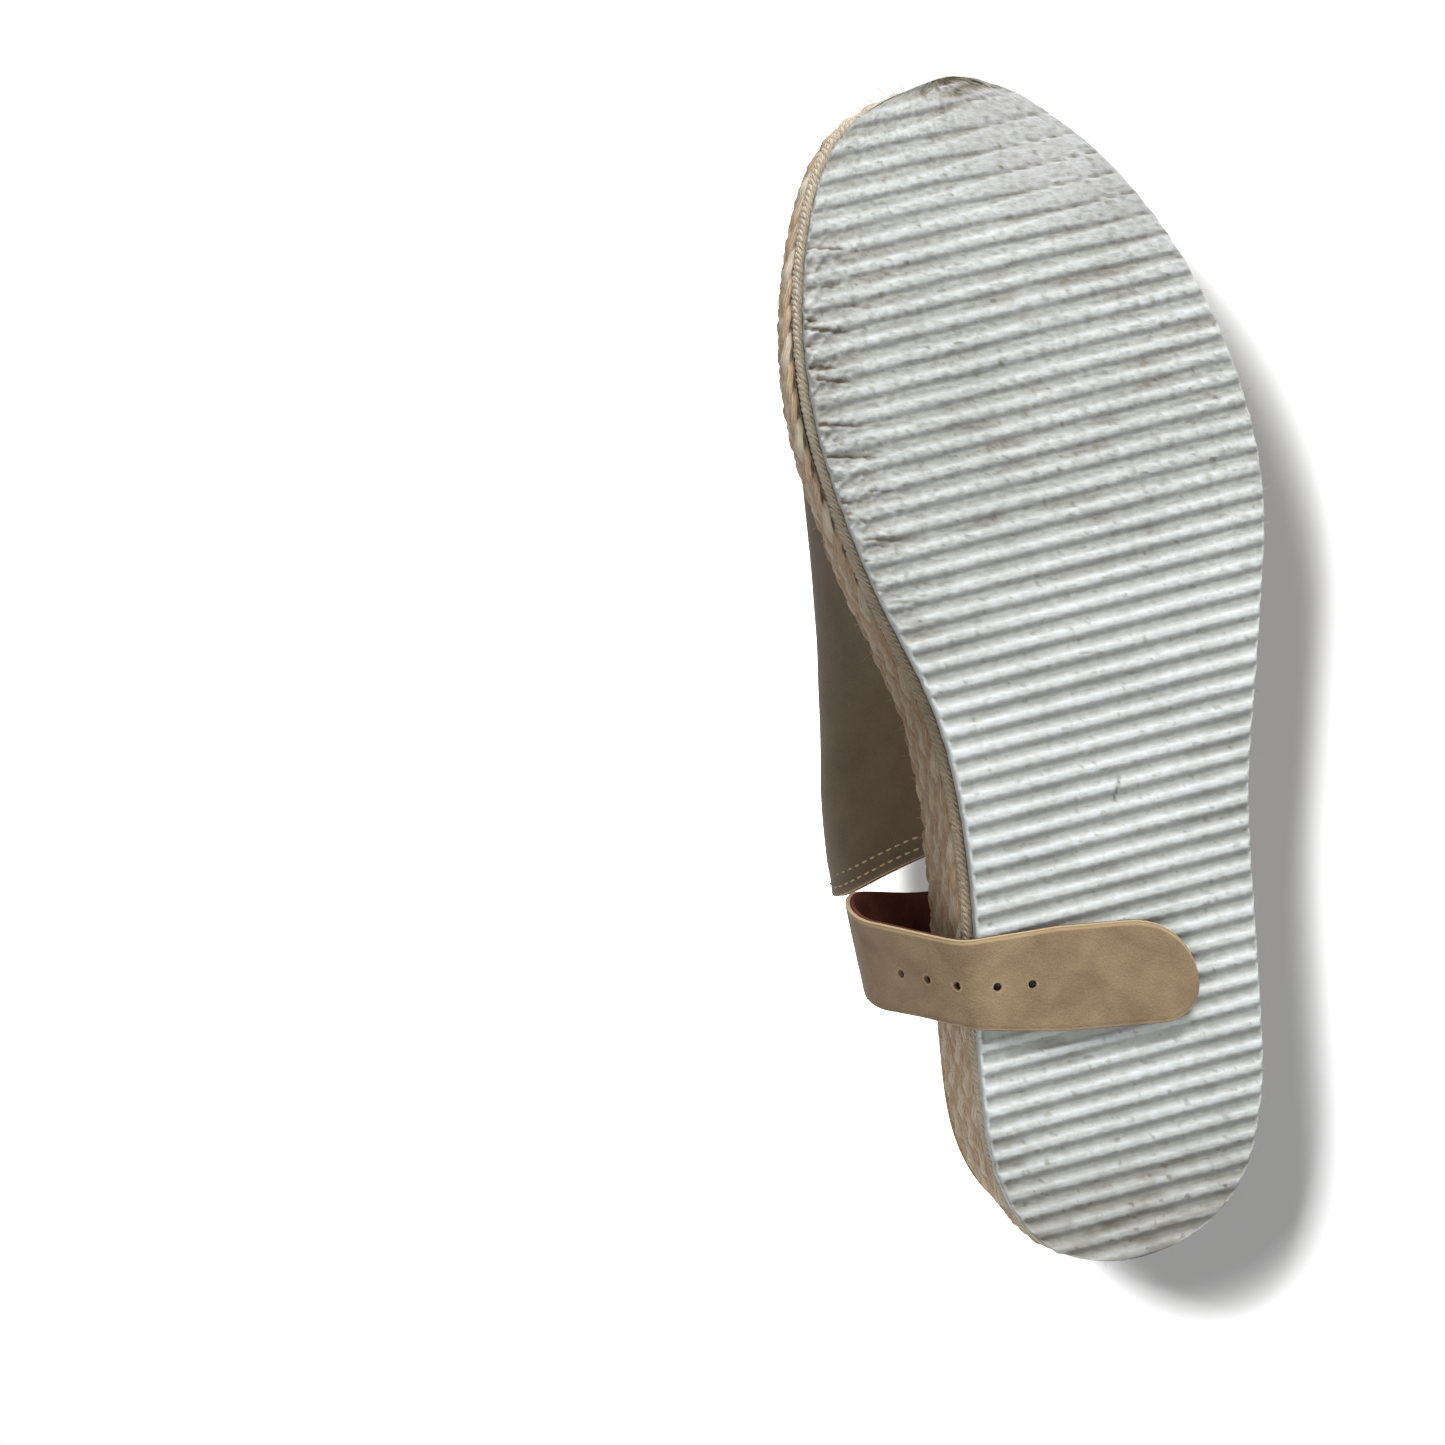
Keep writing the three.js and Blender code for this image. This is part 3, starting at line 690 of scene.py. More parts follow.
def tread_grime_and_crease_shade(x, y, along, wear, valley, near):
    """How dirty each place is, from 0 to 1, with painted shade in the torn creases."""
    # painted shade: the tears are darkened like shadows in creases
    grime_and_crease_shade = 0.7 * wear.tip * (0.75 + wear.fray) + 0.8 * wear.cut + 0.8 * wear.tears
    grime_and_crease_shade = grime_and_crease_shade + 0.22 * wear.ragged * (1 - wear.hatch)
    grime_and_crease_shade = grime_and_crease_shade + 0.3 * valley * smoothstep(rough(x, y, 0.05, 0.08, 14.0), 0.05, 0.6)
    grime_and_crease_shade = grime_and_crease_shade + wear.ball * (0.13 + 0.3 * smoothstep(-wear.pits, 0.05, 0.5))
    grime_and_crease_shade = grime_and_crease_shade + wear.heel * (0.4 + 0.3 * smoothstep(wear.fray, -0.2, 0.6))
    grime_and_crease_shade = grime_and_crease_shade + 0.35 * wear.toe * valley
    inner_toe = smoothstep(along, 232, 252) * smoothstep(-x, -8, 14)
    grime_and_crease_shade = grime_and_crease_shade + 0.4 * inner_toe * smoothstep(wear.pits, -0.1, 0.5)
    grime_and_crease_shade = grime_and_crease_shade + 0.4 * smoothstep(rough(x, y, 0.5, 0.7, 71.0, 2), 0.52, 0.68)
    grime_and_crease_shade = grime_and_crease_shade + 0.5 * (1 - smoothstep(near, 0, 0.5)) * smoothstep(along, 200, 235)
    return np.clip(grime_and_crease_shade, 0, 1)


def side_wall(thing, lower, upper, rows, step, height):
    """Joins the long edges of two grids, one above the other, with a wall."""
    low = np.concatenate([lower[:, -1], lower[::-1, 0]])
    high = np.concatenate([upper[:, -1], upper[::-1, 0]])
    share = np.linspace(0, 1, rows)[None, :, None]
    wall = low[:, None] * (1 - share) + high[:, None] * share
    uv = crossed(np.arange(len(wall) + 1.0) * step, np.linspace(0, height, rows))
    thing.grid(wall, uv, wrap_u=True)


def outsole():
    """The ribbed crepe outsole, worn through at its tip."""
    x, y, to_inner, to_outer = tread_plan()
    along = along_of(y)
    wear = Wear(x, y, to_inner)
    valley, crown = rib_shape(x, along, wear)
    near = np.minimum(to_inner, to_outer)
    rim = smoothstep(to_inner, 0.1, 1.4 - 0.9 * wear.ball) * smoothstep(to_outer, 0.0, 0.5)
    tread = TREAD_Z + toe_spring(y) + tread_relief(wear, valley, crown, rim, near)
    stick_out = smoothstep(along, 245, 260) * (1 - smoothstep(abs(x - 1), 4, 20))
    y = y - TIP_STICKS_OUT * stick_out * (1 + 0.2 * wear.fray)
    lower = np.stack([x, y, tread], -1)
    upper = np.stack([x, y, TREAD_Z + SOLE_THICK + toe_spring(y)], -1)
    thing = Build()
    # the tone marks the valleys, painted greyer in the crepe as dirty and with painted shade, and the
    # worn toe
    thing.grid(lower, lower[..., :2], tone=np.maximum(valley * rim, 0.62 * wear.toe))
    thing.grid(upper, lower[..., :2], flip=True)
    side_wall(thing, lower, upper, 7, ROW_STEP, SOLE_THICK)
    made = thing.finish("outsole_tread", CREPE)
    grime_and_crease_shade = np.zeros(len(made.data.vertices), np.float32)
    grime_and_crease_shade[: x.size] = tread_grime_and_crease_shade(x, y, along, wear, valley, near).ravel()
    made.data.attributes.new("grime_and_crease_shade", "FLOAT", "POINT").data.foreach_set("value", grime_and_crease_shade)
    weld(made)
    ride(made, "sandal", "crepe", "outsole")


def weld(thing, distance=0.002, fill=False):
    """Joins points that coincide, closes open ends if asked, and turns all faces outwards."""
    work = bmesh.new()
    work.from_mesh(thing.data)
    bmesh.ops.remove_doubles(work, verts=work.verts, dist=distance * MM)
    if fill:
        open_edges = [e for e in work.edges if e.is_boundary]
        bmesh.ops.holes_fill(work, edges=open_edges, sides=0)
    bmesh.ops.recalc_face_normals(work, faces=work.faces)
    work.to_mesh(thing.data)
    work.free()
    thing.data.update()


# ---- Jute braid ------------------------------------------------------------------------

STRAND = 1.5                     # radius of one strand
BRAID_DEPTH = 0.95               # how far the strands weave in and out
POINTS_PER_WAVE = 14
ROPE_LAY = 4.0                   # length of one twist of the rope under the braid
FIBRES = 800                     # loose hairs that stand out of the jute


def band_span(index, y):
    """The lower and upper edge of one turn of braid at a row y."""
    low = SOLE_THICK + (1.8 if index == 0 else 0.3 + index * BAND_PITCH)
    high = np.minimum(min(SOLE_THICK + (index + 1) * BAND_PITCH, HEEL_HEIGHT), wedge_top(y))
    return TREAD_Z + low + toe_spring(y), TREAD_Z + high + toe_spring(y)


def wall_line(run, grow=0.0):
    """The wedge's wall in plan, spread outwards at the inner side of the ball."""
    plan, out = WALL.at(run, grow)
    inner = 1 - smoothstep(plan.real, -30, -12)
    swell = 1.4 * inner * np.exp(-(((along_of(plan.imag) - 190) / 36) ** 2))
    return plan + out * swell, out


def band_stretch(index):
    """Where one turn of the braid runs along the wall, and whether it closes on itself."""
    count = round(WALL.length / STRAND_WAVE) * POINTS_PER_WAVE
    run = np.arange(count) * WALL.length / count
    low, high = band_span(index, wall_line(run)[0].imag)
    room = high - low
    if (room > 4).all():
        return run, True
    keep = room > 2.2
    first = int(np.argmin(keep))
    order = np.roll(np.arange(count), -first)
    order = order[keep[order]]
    return np.where(order < first, order + count, order) * WALL.length / count, False


def braid_band(index):
    """One turn of a flat three-strand braid round the wedge."""
    run, closed = band_stretch(index)
    plan, out = wall_line(run)
    low, high = band_span(index, plan.imag)
    wave = WALL.length / round(WALL.length / STRAND_WAVE)
    radius = np.minimum(STRAND, (high - low) * 0.235)
    swing = np.clip((high - low) / 2 - radius, 0.05, None)
    normal = raised(out, 0 * run)
    thing = Build()
    for strand in range(3):
        turn = 2 * math.pi * (run / wave + strand / 3 + 0.37 * index)
        depth = -radius - BRAID_DEPTH * (1 - np.sin(2 * turn)) * 0.55 + 0.55
        path = raised(plan, (low + high) / 2 + swing * np.sin(turn)) + normal * depth[:, None]
        above = unit(np.cross(unit(np.gradient(path, axis=0)), normal))
        pulse = radius * (1.0 + 0.07 * np.sin(5 * turn + strand))
        # painted highlight: one strand of each turn is coloured cream, the others a little lighter
        # where they stand out
        bleach_and_painted_highlight = 0.92 if strand == index % 3 else 0.4 + 0.12 * np.sin(2 * turn)
        thing.tube(path, normal, above, pulse, 10, closed=closed, squeeze=1.18, tone=bleach_and_painted_highlight)
    made = thing.finish(f"braid_{index + 1}", JUTE)
    ride(made, "sandal", "jute", f"jute_braid_{index + 1}")


def braid_tape():
    """The tape that the braid is sewn to: it closes the gaps and turns in under the footbed."""
    rows = np.append(np.linspace(0, 1, 12), (1.0, 1.0))
    turned_in = np.append(np.zeros(12), (2.5, 6.5))
    plan, out = wall_line(WALL.run, -2.1)
    low = TREAD_Z + SOLE_THICK + 0.25 + toe_spring(plan.imag)
    high = deck(plan.imag) - 0.8
    z = low[:, None] + (high - low)[:, None] * rows
    points = raised(plan[:, None] - out[:, None] * turned_in, z)
    thing = Build()
    thing.grid(points, crossed(np.append(WALL.run, WALL.length), rows * 40), wrap_u=True)
    ride(thing.finish("braid_tape", JUTE), "sandal", "jute")


def braid_rope():
    """The twisted rope that covers the joint between the braid and the outsole."""
    turns = round(WALL.length / ROPE_LAY)
    run = np.arange(turns * 10) * WALL.length / (turns * 10)
    plan, out = WALL.at(run)
    beside = SOLE.points[np.argmin(abs(plan[:, None] - SOLE.points[None]), axis=1)]
    stand_out = ((plan - beside) * np.conj(out)).real
    normal = raised(out, 0 * run)
    centre = raised(plan, TREAD_Z + SOLE_THICK + 1.0 + toe_spring(plan.imag))
    centre = centre - normal * np.maximum(1.75, stand_out - 0.9)[:, None]
    thing = Build()
    for strand in range(3):
        turn = 2 * math.pi * (run * turns / WALL.length + strand / 3)
        path = centre + normal * (0.72 * np.cos(turn))[:, None]
        path[:, 2] = path[:, 2] + 0.72 * np.sin(turn)
        ahead = unit(np.roll(path, -1, 0) - np.roll(path, 1, 0))
        above = unit(np.cross(ahead, normal))
        pulse = 0.74 * (1 + 0.1 * np.sin(2.3 * turn + 2 * strand))
        bleach_and_painted_highlight = 0.92 + 0.08 * np.sin(turn)
        thing.tube(path, np.cross(above, ahead), above, pulse, 7, closed=True, tone=bleach_and_painted_highlight)
    ride(thing.finish("braid_rope", JUTE), "sandal", "jute")


def loose_fibres():
    """Short hairs that stand out of the jute."""
    rng = random.Random(11)
    thing = Build()
    for _ in range(FIBRES):
        run = rng.uniform(0, WALL.length)
        plan, out = WALL.at(np.array([run]), -0.5)
        y = float(plan.imag[0])
        low = TREAD_Z + SOLE_THICK + toe_spring(y)
        start = Vector((plan.real[0], y, rng.uniform(float(low), float(deck(y)))))
        away = Vector((out.real[0], out.imag[0], rng.uniform(-0.9, 0.7))).normalized()
        drift = Vector((rng.uniform(-1, 1), rng.uniform(-1, 1), rng.uniform(-1, 1)))
        length = rng.uniform(1.2, 4.2)
        curl = rng.uniform(0.3, 1.1)
        t = np.linspace(0, 1, 5)[:, None]
        path = np.array(start) + np.array(away) * (length * (t - 0.35 * t * t))
        path = path + np.array(drift) * (curl * length * t * t * 0.5)
        side = np.array(away.cross(drift).normalized())
        up = np.cross(np.array(away), side)
        side, up = np.tile(side, (5, 1)), np.tile(up, (5, 1))
        thing.tube(path, side, up, 0.045, 4, tone=rng.uniform(0.3, 1))
    ride(thing.finish("jute_fibres", FUZZ), "sandal", "jute")


# ---- Instep strap ----------------------------------------------------------------------

HINGES = [Vector(j["pos_m"]) / MM for j in frame["joints"] if j["name"].startswith("strap")]
TIP_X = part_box("strap_6_outer")[1].x / MM - 0.1
ROOT_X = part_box("strap_root_outer")[1].x / MM + 0.62
TIP_Y = 68.3
SOLE_GRIP = -27.5                # the strap lies flat under the sole from here to its tip
STRAP_DEPTH = 2.4
STRAP_STEP = 0.5                 # spacing of the points along the strap
STRAP_ROUND_END = 15.0
STRAP_SWAY = 5.2                 # how far its upper part leans towards the toe
STRAP_TILT = math.sin(math.radians(5))   # its toe-side edge stands off a little
TIP_POINT = 3.0                  # how far the tip's foremost point lies towards the heel

# half the strap's width, by distance from its tip
STRAP_HALF = ((0, 30, 40, 50, 62, 85, 140), (11.5, 11.5, 10.7, 9.8, 9.9, 10.6, 10.8))
HOLE_STOPS = [36.4 + 7.6 * k for k in range(5)]


def strap_stops():
    """The strap's middle line: its root, the bends, and its tip."""
    root = Vector((ROOT_X, HINGES[0].y, HINGES[0].z))
    tip = Vector((TIP_X, TIP_Y, HINGES[5].z))
    bends = [bend + Vector((ease, 0, 0)) for bend, ease in zip(HINGES, (0, 0, 0, 2.9, 1.8, 0))]
    return [root, *bends, tip]


def bezier(first, control, last, count):
    """Points of a curve that bends once, towards its control point."""
    steps = [i / count for i in range(count + 1)]
    return [first * (1 - t) ** 2 + control * (2 * t * (1 - t)) + last * (t * t) for t in steps]


def strap_piece_ends(index):
    """Middles of the stretches before and after one bend."""
    before, bend, after = strap_stops()[index : index + 3]
    start = before if index == 0 else (before + bend) / 2
    end = after if index == 5 else (bend + after) / 2
    return start, bend, end


def strap_piece_curve(index):
    """The middle line of the piece round one bend, before it is evenly spaced."""
    start, bend, end = strap_piece_ends(index)
    if index == 0:
        ease = bend.lerp(start, 0.5)
        return [start.lerp(ease, i / 20) for i in range(20)] + bezier(ease, bend, end, 60)
    if index == 4:
        down = Vector((SOLE_GRIP, bend.y + (end.y - bend.y) * 0.4, bend.z))
        return bezier(start, bend, down, 60) + [down.lerp(end, i / 20) for i in range(1, 21)]
    if index == 5:
        return [start.lerp(end, i / 120) for i in range(121)]
    return bezier(start, bend, end, 60)


def strap_piece_path(index):
    """One piece's middle line from mid-stretch to mid-stretch, and the run along it."""
    curve = np.array([tuple(p) for p in strap_piece_curve(index)])
    curve[:, 1] = curve[:, 1] - STRAP_SWAY * smoothstep(curve[:, 2], 20, 42)
    run = run_along(curve[:, [0, 2]])
    even = np.linspace(0, run[-1], max(8, round(run[-1] / STRAP_STEP)) + 1)
    if index == 5:
        turn = np.sin(np.linspace(0, math.pi / 2, 44))
        straight = np.arange(0, run[-1] - STRAP_ROUND_END, STRAP_STEP)
        even = np.concatenate([straight, run[-1] - STRAP_ROUND_END * (1 - turn)])
    return resample(curve, run, even), even


def strap_runs():
    """Where each piece starts, measured along the whole strap."""
    starts = [0.0]
    for index in range(6):
        starts.append(starts[-1] + strap_piece_path(index)[1][-1])
    return starts


STRAP_RUNS = strap_runs()


def strap_edges(to_tip):
    """The toe-side and heel-side edge, across from the middle line, near and away from the tip."""
    half = np.interp(to_tip, *STRAP_HALF)
    toe_turn = np.clip(1 - to_tip / STRAP_ROUND_END, 0, 1)
    heel_turn = np.clip(1 - to_tip / 9.5, 0, 1)
    toe = TIP_POINT - (half + TIP_POINT) * np.sqrt(np.clip(1 - toe_turn**2.3, 0.0004, 1))
    heel = TIP_POINT + (half - TIP_POINT) * np.sqrt(np.clip(1 - heel_turn**2.3, 0.0004, 1))
    return toe, heel


def strap_section():
    """Once round a layer's section: share across, turn of the round edge, and side."""
    face = (eased(41, 0.35) + 1) / 2
    back = np.linspace(1, 0, 13)
    turn = np.linspace(0, math.pi, 7)[1:-1]
    share = np.concatenate([face, 0 * turn + 1, back, 0 * turn])
    angle = np.concatenate([0 * face, turn, 0 * back + math.pi, turn[::-1]])
    side = np.concatenate([0 * face, 0 * turn + 1, 0 * back, 0 * turn - 1])
    return share, angle, side


def strap_wear_and_highlight(across_toe, across_heel, v, to_tip):
    """Rubbed places of the strap: its two edges and the rims of its holes, with a painted highlight
    along the toe-side edge.
    """
    # the toe-side edge is worn, and lightened further as a painted highlight
    rim = 1 - smoothstep(across_toe, 0.7, 1.5)
    rim = np.maximum(rim, 0.35 * (1 - smoothstep(across_heel, 0.1, 0.8)))
    for stop in HOLE_STOPS:
        reach = np.hypot(to_tip - stop, v - 0.6)
        rim = np.maximum(rim, 0.9 * (1 - smoothstep(reach, 1.1, 1.5)))
    return rim


def strap_surface(path, run, normal, depth, thickness):
    """A layer's round-edged section swept along a path: points, place across, and wear."""
    to_tip = (STRAP_RUNS[-1] - run)[:, None]
    toe, heel = strap_edges(to_tip)
    share, angle, side = (part[None] for part in strap_section())
    edge = np.minimum(0.45 * thickness, 0.45 * (heel - toe))
    v = (toe + edge) * (1 - share) + (heel - edge) * share + side * edge * np.sin(angle)
    down = depth + thickness / 2 * (1 - np.cos(angle))
    if depth == 0:
        near = np.minimum(v - toe, heel - v)
        sink = 0.22 * (1 - smoothstep(near, 0.2, 1.4)) ** 2
        grain = 0.12 * rough(np.broadcast_to(run[:, None], v.shape), v, 0.07, 0.1, 4.0)
        down = down + (angle < 0.1) * (sink + grain * smoothstep(near, 0, 3))
    lift = STRAP_DEPTH / 2 - down + STRAP_TILT * (heel - v)
    points = path[:, None] + normal[:, None] * lift[..., None]
    points[..., 1] = points[..., 1] + v
    return points, v, strap_wear_and_highlight(v - toe, heel - v, v, to_tip)


def punch_holes(thing, path, run, normal, flat):
    """Cuts the buckle holes that fall on one piece of the strap."""
    for stop in HOLE_STOPS:
        hole = STRAP_RUNS[-1] - stop
        if run[0] - 1.2 < hole < run[-1] + 1.2:
            k = int(np.argmin(abs(run - hole)))
            ahead = np.array([flat[k, 0], 0, flat[k, 1]]) * (hole - run[k])
            middle = path[k] + ahead + normal[k] * STRAP_DEPTH / 2
            punch(thing, middle + [0, 0.6, 0], normal[k])


def strap_layer(index, name, material, depth, thickness, nodes):
    """One layer of one piece of the strap, round one of its bends."""
    path, run = strap_piece_path(index)
    flat = unit(np.gradient(path[:, [0, 2]], axis=0))
    normal = np.stack([flat[:, 1], 0 * run, -flat[:, 0]], -1)
    run = run + STRAP_RUNS[index]
    points, v, wear = strap_surface(path, run, normal, depth, thickness)
    section = np.concatenate([v, v[:, :1]], 1)
    uv = np.stack(np.broadcast_arrays(run[:, None], section), -1)
    thing = Build()
    # the tone carries worn edges and the painted highlight along the toe-side edge
    thing.grid(points, uv, wrap_v=True, tone=wear)
    made = thing.finish(name, material)
    weld(made, 0.004, fill=True)
    punch_holes(made, path, run, normal, flat)
    smooth(made, 40)
    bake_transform(made)
    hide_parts(*nodes)


def punch(thing, centre, direction):
    """Cuts one buckle hole through a strap layer."""
    work = bmesh.new()
    turn = Vector((0, 0, 1)).rotation_difference(Vector(direction)).to_matrix().to_4x4()
    bmesh.ops.create_cone(
        work, cap_ends=True, segments=18, radius1=0.85 * MM, radius2=1.0 * MM, depth=12 * MM,
        matrix=Matrix.Translation(Vector(centre) * MM) @ turn)
    cut(thing, work)


def cut(thing, work):
    """Subtracts a bmesh solid from an object."""
    shape = bpy.data.meshes.new("cutter")
    work.to_mesh(shape)
    work.free()
    tool = bpy.data.objects.new("cutter", shape)
    bpy.context.scene.collection.objects.link(tool)
    step = thing.modifiers.new("cut", "BOOLEAN")
    step.operation = "DIFFERENCE"
    step.object = tool
    step.solver = "EXACT"
    settle(thing)
    bpy.data.objects.remove(tool)


def strap():
    """The strap's six pieces, each with its nubuck face and its lining."""
    layers = (("face", "outer", NUBUCK, 0.0, LEATHER, "nubuck"),
              ("back", "lining", LINING_LEATHER, LEATHER + 0.05, LINING, "lining_leather"))
    for index in range(6):
        k = index + 1
        for side, kind, material, depth, thickness, slot in layers:
            nodes = [f"strap_{k}_{kind}"] + ([f"strap_root_{kind}"] if k == 1 else [])
            strap_layer(index, f"strap_{side}_{k}", material, depth, thickness, nodes)


# ---- Upper -----------------------------------------------------------------------------

VAMP_BACK = ((0, 0.15, 0.5, 0.85, 1), (90, 79, 104, 97, 98))
VAMP_FRONT = ((0, 0.25, 0.5, 0.75, 1), (191, 198, 202, 194, 184))
VAMP_HEIGHT, VAMP_RISE, VAMP_TOE = 33.0, 0.3, 205.0
VAMP_SAG = ((80, 110, 130, 146, 170, 190, 206), (27, 27, 23, 17, 9, 3.5, 1))
VAMP_BULGE_OUTER = 1.5
STITCH_LENGTH, STITCH_GAP, STITCH_RADIUS = 2.4, 1.1, 0.27


def through(knots, u):
    """A smooth curve through a few values."""
    xs, ys = (np.array(k, float) for k in knots)
    slope = np.gradient(ys, xs)
    k = np.clip(np.searchsorted(xs, u, side="right") - 1, 0, len(xs) - 2)
    h = xs[k + 1] - xs[k]
    t = (u - xs[k]) / h
    return ((2 * t**3 - 3 * t**2 + 1) * ys[k] + (t**3 - 2 * t**2 + t) * h * slope[k]
            + (3 * t**2 - 2 * t**3) * ys[k + 1] + (t**3 - t**2) * h * slope[k + 1])


def vamp_surface(u, v, inset=0.0):
    """The vamp over the forefoot: u runs over the foot from the inner side, v from back to toe."""
    along = through(VAMP_BACK, u) * (1 - v) + through(VAMP_FRONT, u) * v
    y = HEEL_LINE - along
    inner, outer = SOLE.edge(-1, y) - 0.6, SOLE.edge(1, y) + 0.6
    height = VAMP_HEIGHT + (VAMP_TOE - along) * VAMP_RISE - inset
    angle = math.pi * u
    side = np.sign(np.cos(angle)) * abs(np.cos(angle)) ** 0.9
    half = (outer - inner) / 2 - inset
    belly = np.sin(np.minimum(1, 2.2 * np.minimum(u, 1 - u)) * math.pi)
    bulge = belly * np.where(u < 0.5, -through(VAMP_SAG, along), VAMP_BULGE_OUTER)
    foot = deck(y) + 0.3
    x = (inner + outer) / 2 - side * half + bulge
    z = foot + height * np.clip(np.sin(angle), 0, None) ** 0.85
    return np.stack([x, y, z], -1)


COUNTER_INNER, COUNTER_OUTER = 52.0, 60.0
COUNTER_BACK, COUNTER_SIDE, COUNTER_LEAN = 50.0, 30.0, 9.0


def counter_surface(u, v, inset=0.0):
    """The heel cup: u runs round the heel from the inner to the outer side, v runs up."""
    start = SOLE.run_at(-1, HEEL_LINE - COUNTER_INNER)
    end = SOLE.run_at(1, HEEL_LINE - COUNTER_OUTER)
    run = start + (end - start) * u
    ends = abs(2 * u - 1) ** 2.2
    height = COUNTER_BACK + (COUNTER_SIDE - COUNTER_BACK) * ends
    plan, out = SOLE.at(run)
    slack = (1 - smoothstep(u, 0.3, 0.62)) * smoothstep(v, 0, 0.22)
    grow = 0.6 - inset + 1.5 * np.sin(math.pi * v) - COUNTER_LEAN * v * v - 3.2 * slack
    return raised(plan + out * grow, WEDGE_Z + 0.3 + height * v)


def panel(name, surface, materials, counts, thickness, slot, nodes, flip, creases=None, inner_shade=0.0):
    """A leather panel from a surface, creased, darkened with painted shade at its inner foot, and
    made thick inwards.
    """
    u, v = np.meshgrid(np.linspace(0, 1, counts[0]), np.linspace(0, 1, counts[1]), indexing="ij")
    points = surface(u, v)
    if creases:
        normal = sheet_normals(points) * (-1 if flip else 1)
        points = points + normal * creases(u, v)[..., None]
    run_v = run_along(points[counts[0] // 2])
    uv = crossed(run_along(points[:, counts[1] // 2]), run_v)
    near = np.minimum(v, 1 - v) * run_v[-1]
    # painted shade: the tone goes below zero along the inner foot
    inner_shade_mask = inner_shade * (1 - smoothstep(u, 0.06, 0.34))
    thing = Build()
    thing.grid(points, uv, flip=flip, tone=(1 - smoothstep(near, 0.6, 1.8)) * (1 - inner_shade_mask) - inner_shade_mask)
    made = thing.finish(name, *materials)
    thicken(made, thickness)
    ride(made, "sandal", slot, *nodes)


def stitch_row(name, path, normals):
    """Separate stitches along a path on a surface."""
    run = run_along(path)
    pitch = STITCH_LENGTH + STITCH_GAP
    count = int(run[-1] / pitch)
    t = np.linspace(0, 1, 7)
    radius = STITCH_RADIUS * (0.55 + 0.45 * np.sin(math.pi * t))
    thing = Build()
    for k in range(count):
        places = (k + 0.5 * STITCH_GAP / pitch) * run[-1] / count + t * STITCH_LENGTH
        out = unit(resample(normals, run, places))
        line = resample(path, run, places) + out * (0.32 * np.sin(math.pi * t) - 0.12)[:, None]
        side = unit(np.cross(np.gradient(line, axis=0), out))
        thing.tube(line, side, out, radius, 6)
    ride(thing.finish(name, THREAD), "sandal", "nubuck")


def stitch_on(name, surface, u, v, flip):
    """A row of stitches along a line drawn on a surface."""
    small = 1e-3
    du = surface(np.clip(u + small, 0, 1), v) - surface(np.clip(u - small, 0, 1), v)
    dv = surface(u, np.clip(v + small, 0, 1)) - surface(u, np.clip(v - small, 0, 1))
    stitch_row(name, surface(u, v), unit(np.cross(du, dv)) * (-1 if flip else 1))


def vamp_creases(u, v):
    """Flex lines across the joint of the toes, and slack leather on the inner side."""
    over = smoothstep(u, 0.15, 0.4) * (1 - smoothstep(u, 0.6, 0.85))
    folds = 0
    for place, depth in ((0.62, 0.55), (0.7, 0.8), (0.79, 0.6), (0.88, 0.4)):
        bend = place + 0.035 * np.sin(6 * u + 9 * place)
        folds = folds - depth * np.exp(-((v - bend) / 0.018) ** 2)
        folds = folds + 0.45 * depth * np.exp(-((v - bend - 0.035) / 0.025) ** 2)
    soft = 0.7 * np.sin(7 * v + 5 * u) * smoothstep(u, 0.02, 0.2) * (1 - smoothstep(u, 0.3, 0.5))
    edge = smoothstep(np.minimum(v, 1 - v), 0, 0.08)
    return (folds * over + soft) * edge


def counter_creases(u, v):
    """Slight waves round the heel cup, none at its two ends."""
    waves = 0.35 * np.sin(9 * u + 3 * v) * np.sin(math.pi * v)
    return waves * smoothstep(np.minimum(u, 1 - u), 0, 0.1)


def upper():
    """The vamp, the heel counter, their linings and their stitching."""
    tan, dark = (NUBUCK, NUBUCK_EDGE), (LINING_LEATHER, NUBUCK_EDGE)
    # the vamp's inner foot is darkened with painted shade
    panel("vamp", vamp_surface, tan, (121, 81), LEATHER, "nubuck",
          ["vamp_outer"], True, vamp_creases, inner_shade=0.85)
    panel("vamp_inside", lambda u, v: vamp_surface(u, v, 1.5), dark, (91, 61), LINING,
          "lining_leather", ["vamp_lining"], True, vamp_creases)
    panel("heel_counter", counter_surface, tan, (121, 41), LEATHER, "nubuck",
          ["counter_outer", "counter_stiffener"], False, counter_creases)
    panel("heel_counter_inside", lambda u, v: counter_surface(u, v, 1.5), dark, (91, 31), 1.9,
          "lining_leather", ["counter_lining"], False, counter_creases)
    line = np.linspace(0.015, 0.985, 400)
    for name, place in (("a", 0.022), ("b", 0.05)):
        stitch_on(f"vamp_back_stitch_{name}", vamp_surface, line, 0 * line + place, True)
        stitch_on(f"vamp_toe_stitch_{name}", vamp_surface, line, 0 * line + 1 - place, True)
        top = 0 * line + 1 - place * 1.9
        stitch_on(f"counter_top_stitch_{name}", counter_surface, line, top, False)
    rise = np.linspace(0.02, 0.9, 200)
    for side, place in (("inner", 0.012), ("outer", 0.988)):
        stitch_on(f"counter_{side}_stitch", counter_surface, 0 * rise + place, rise, False)
    heel_strip()


def strip_surface(u, v):
    """A narrow stretch of the counter's back, standing off it."""
    return counter_surface(0.5 + (u - 0.5) * 0.07, v * 0.985) + [0, 1.05, 0]


def heel_strip():
    """The narrow strip that covers the counter's back seam."""
    tan = (NUBUCK, NUBUCK_EDGE)
    panel("heel_strip", strip_surface, tan, (15, 41), 0.9, "nubuck", [], False)
    rise = np.linspace(0.03, 0.96, 200)
    for side, place in (("left", 0.14), ("right", 0.86)):
        stitch_on(f"heel_strip_stitch_{side}", strip_surface, 0 * rise + place, rise, False)


# ---- Footbed ---------------------------------------------------------------------------

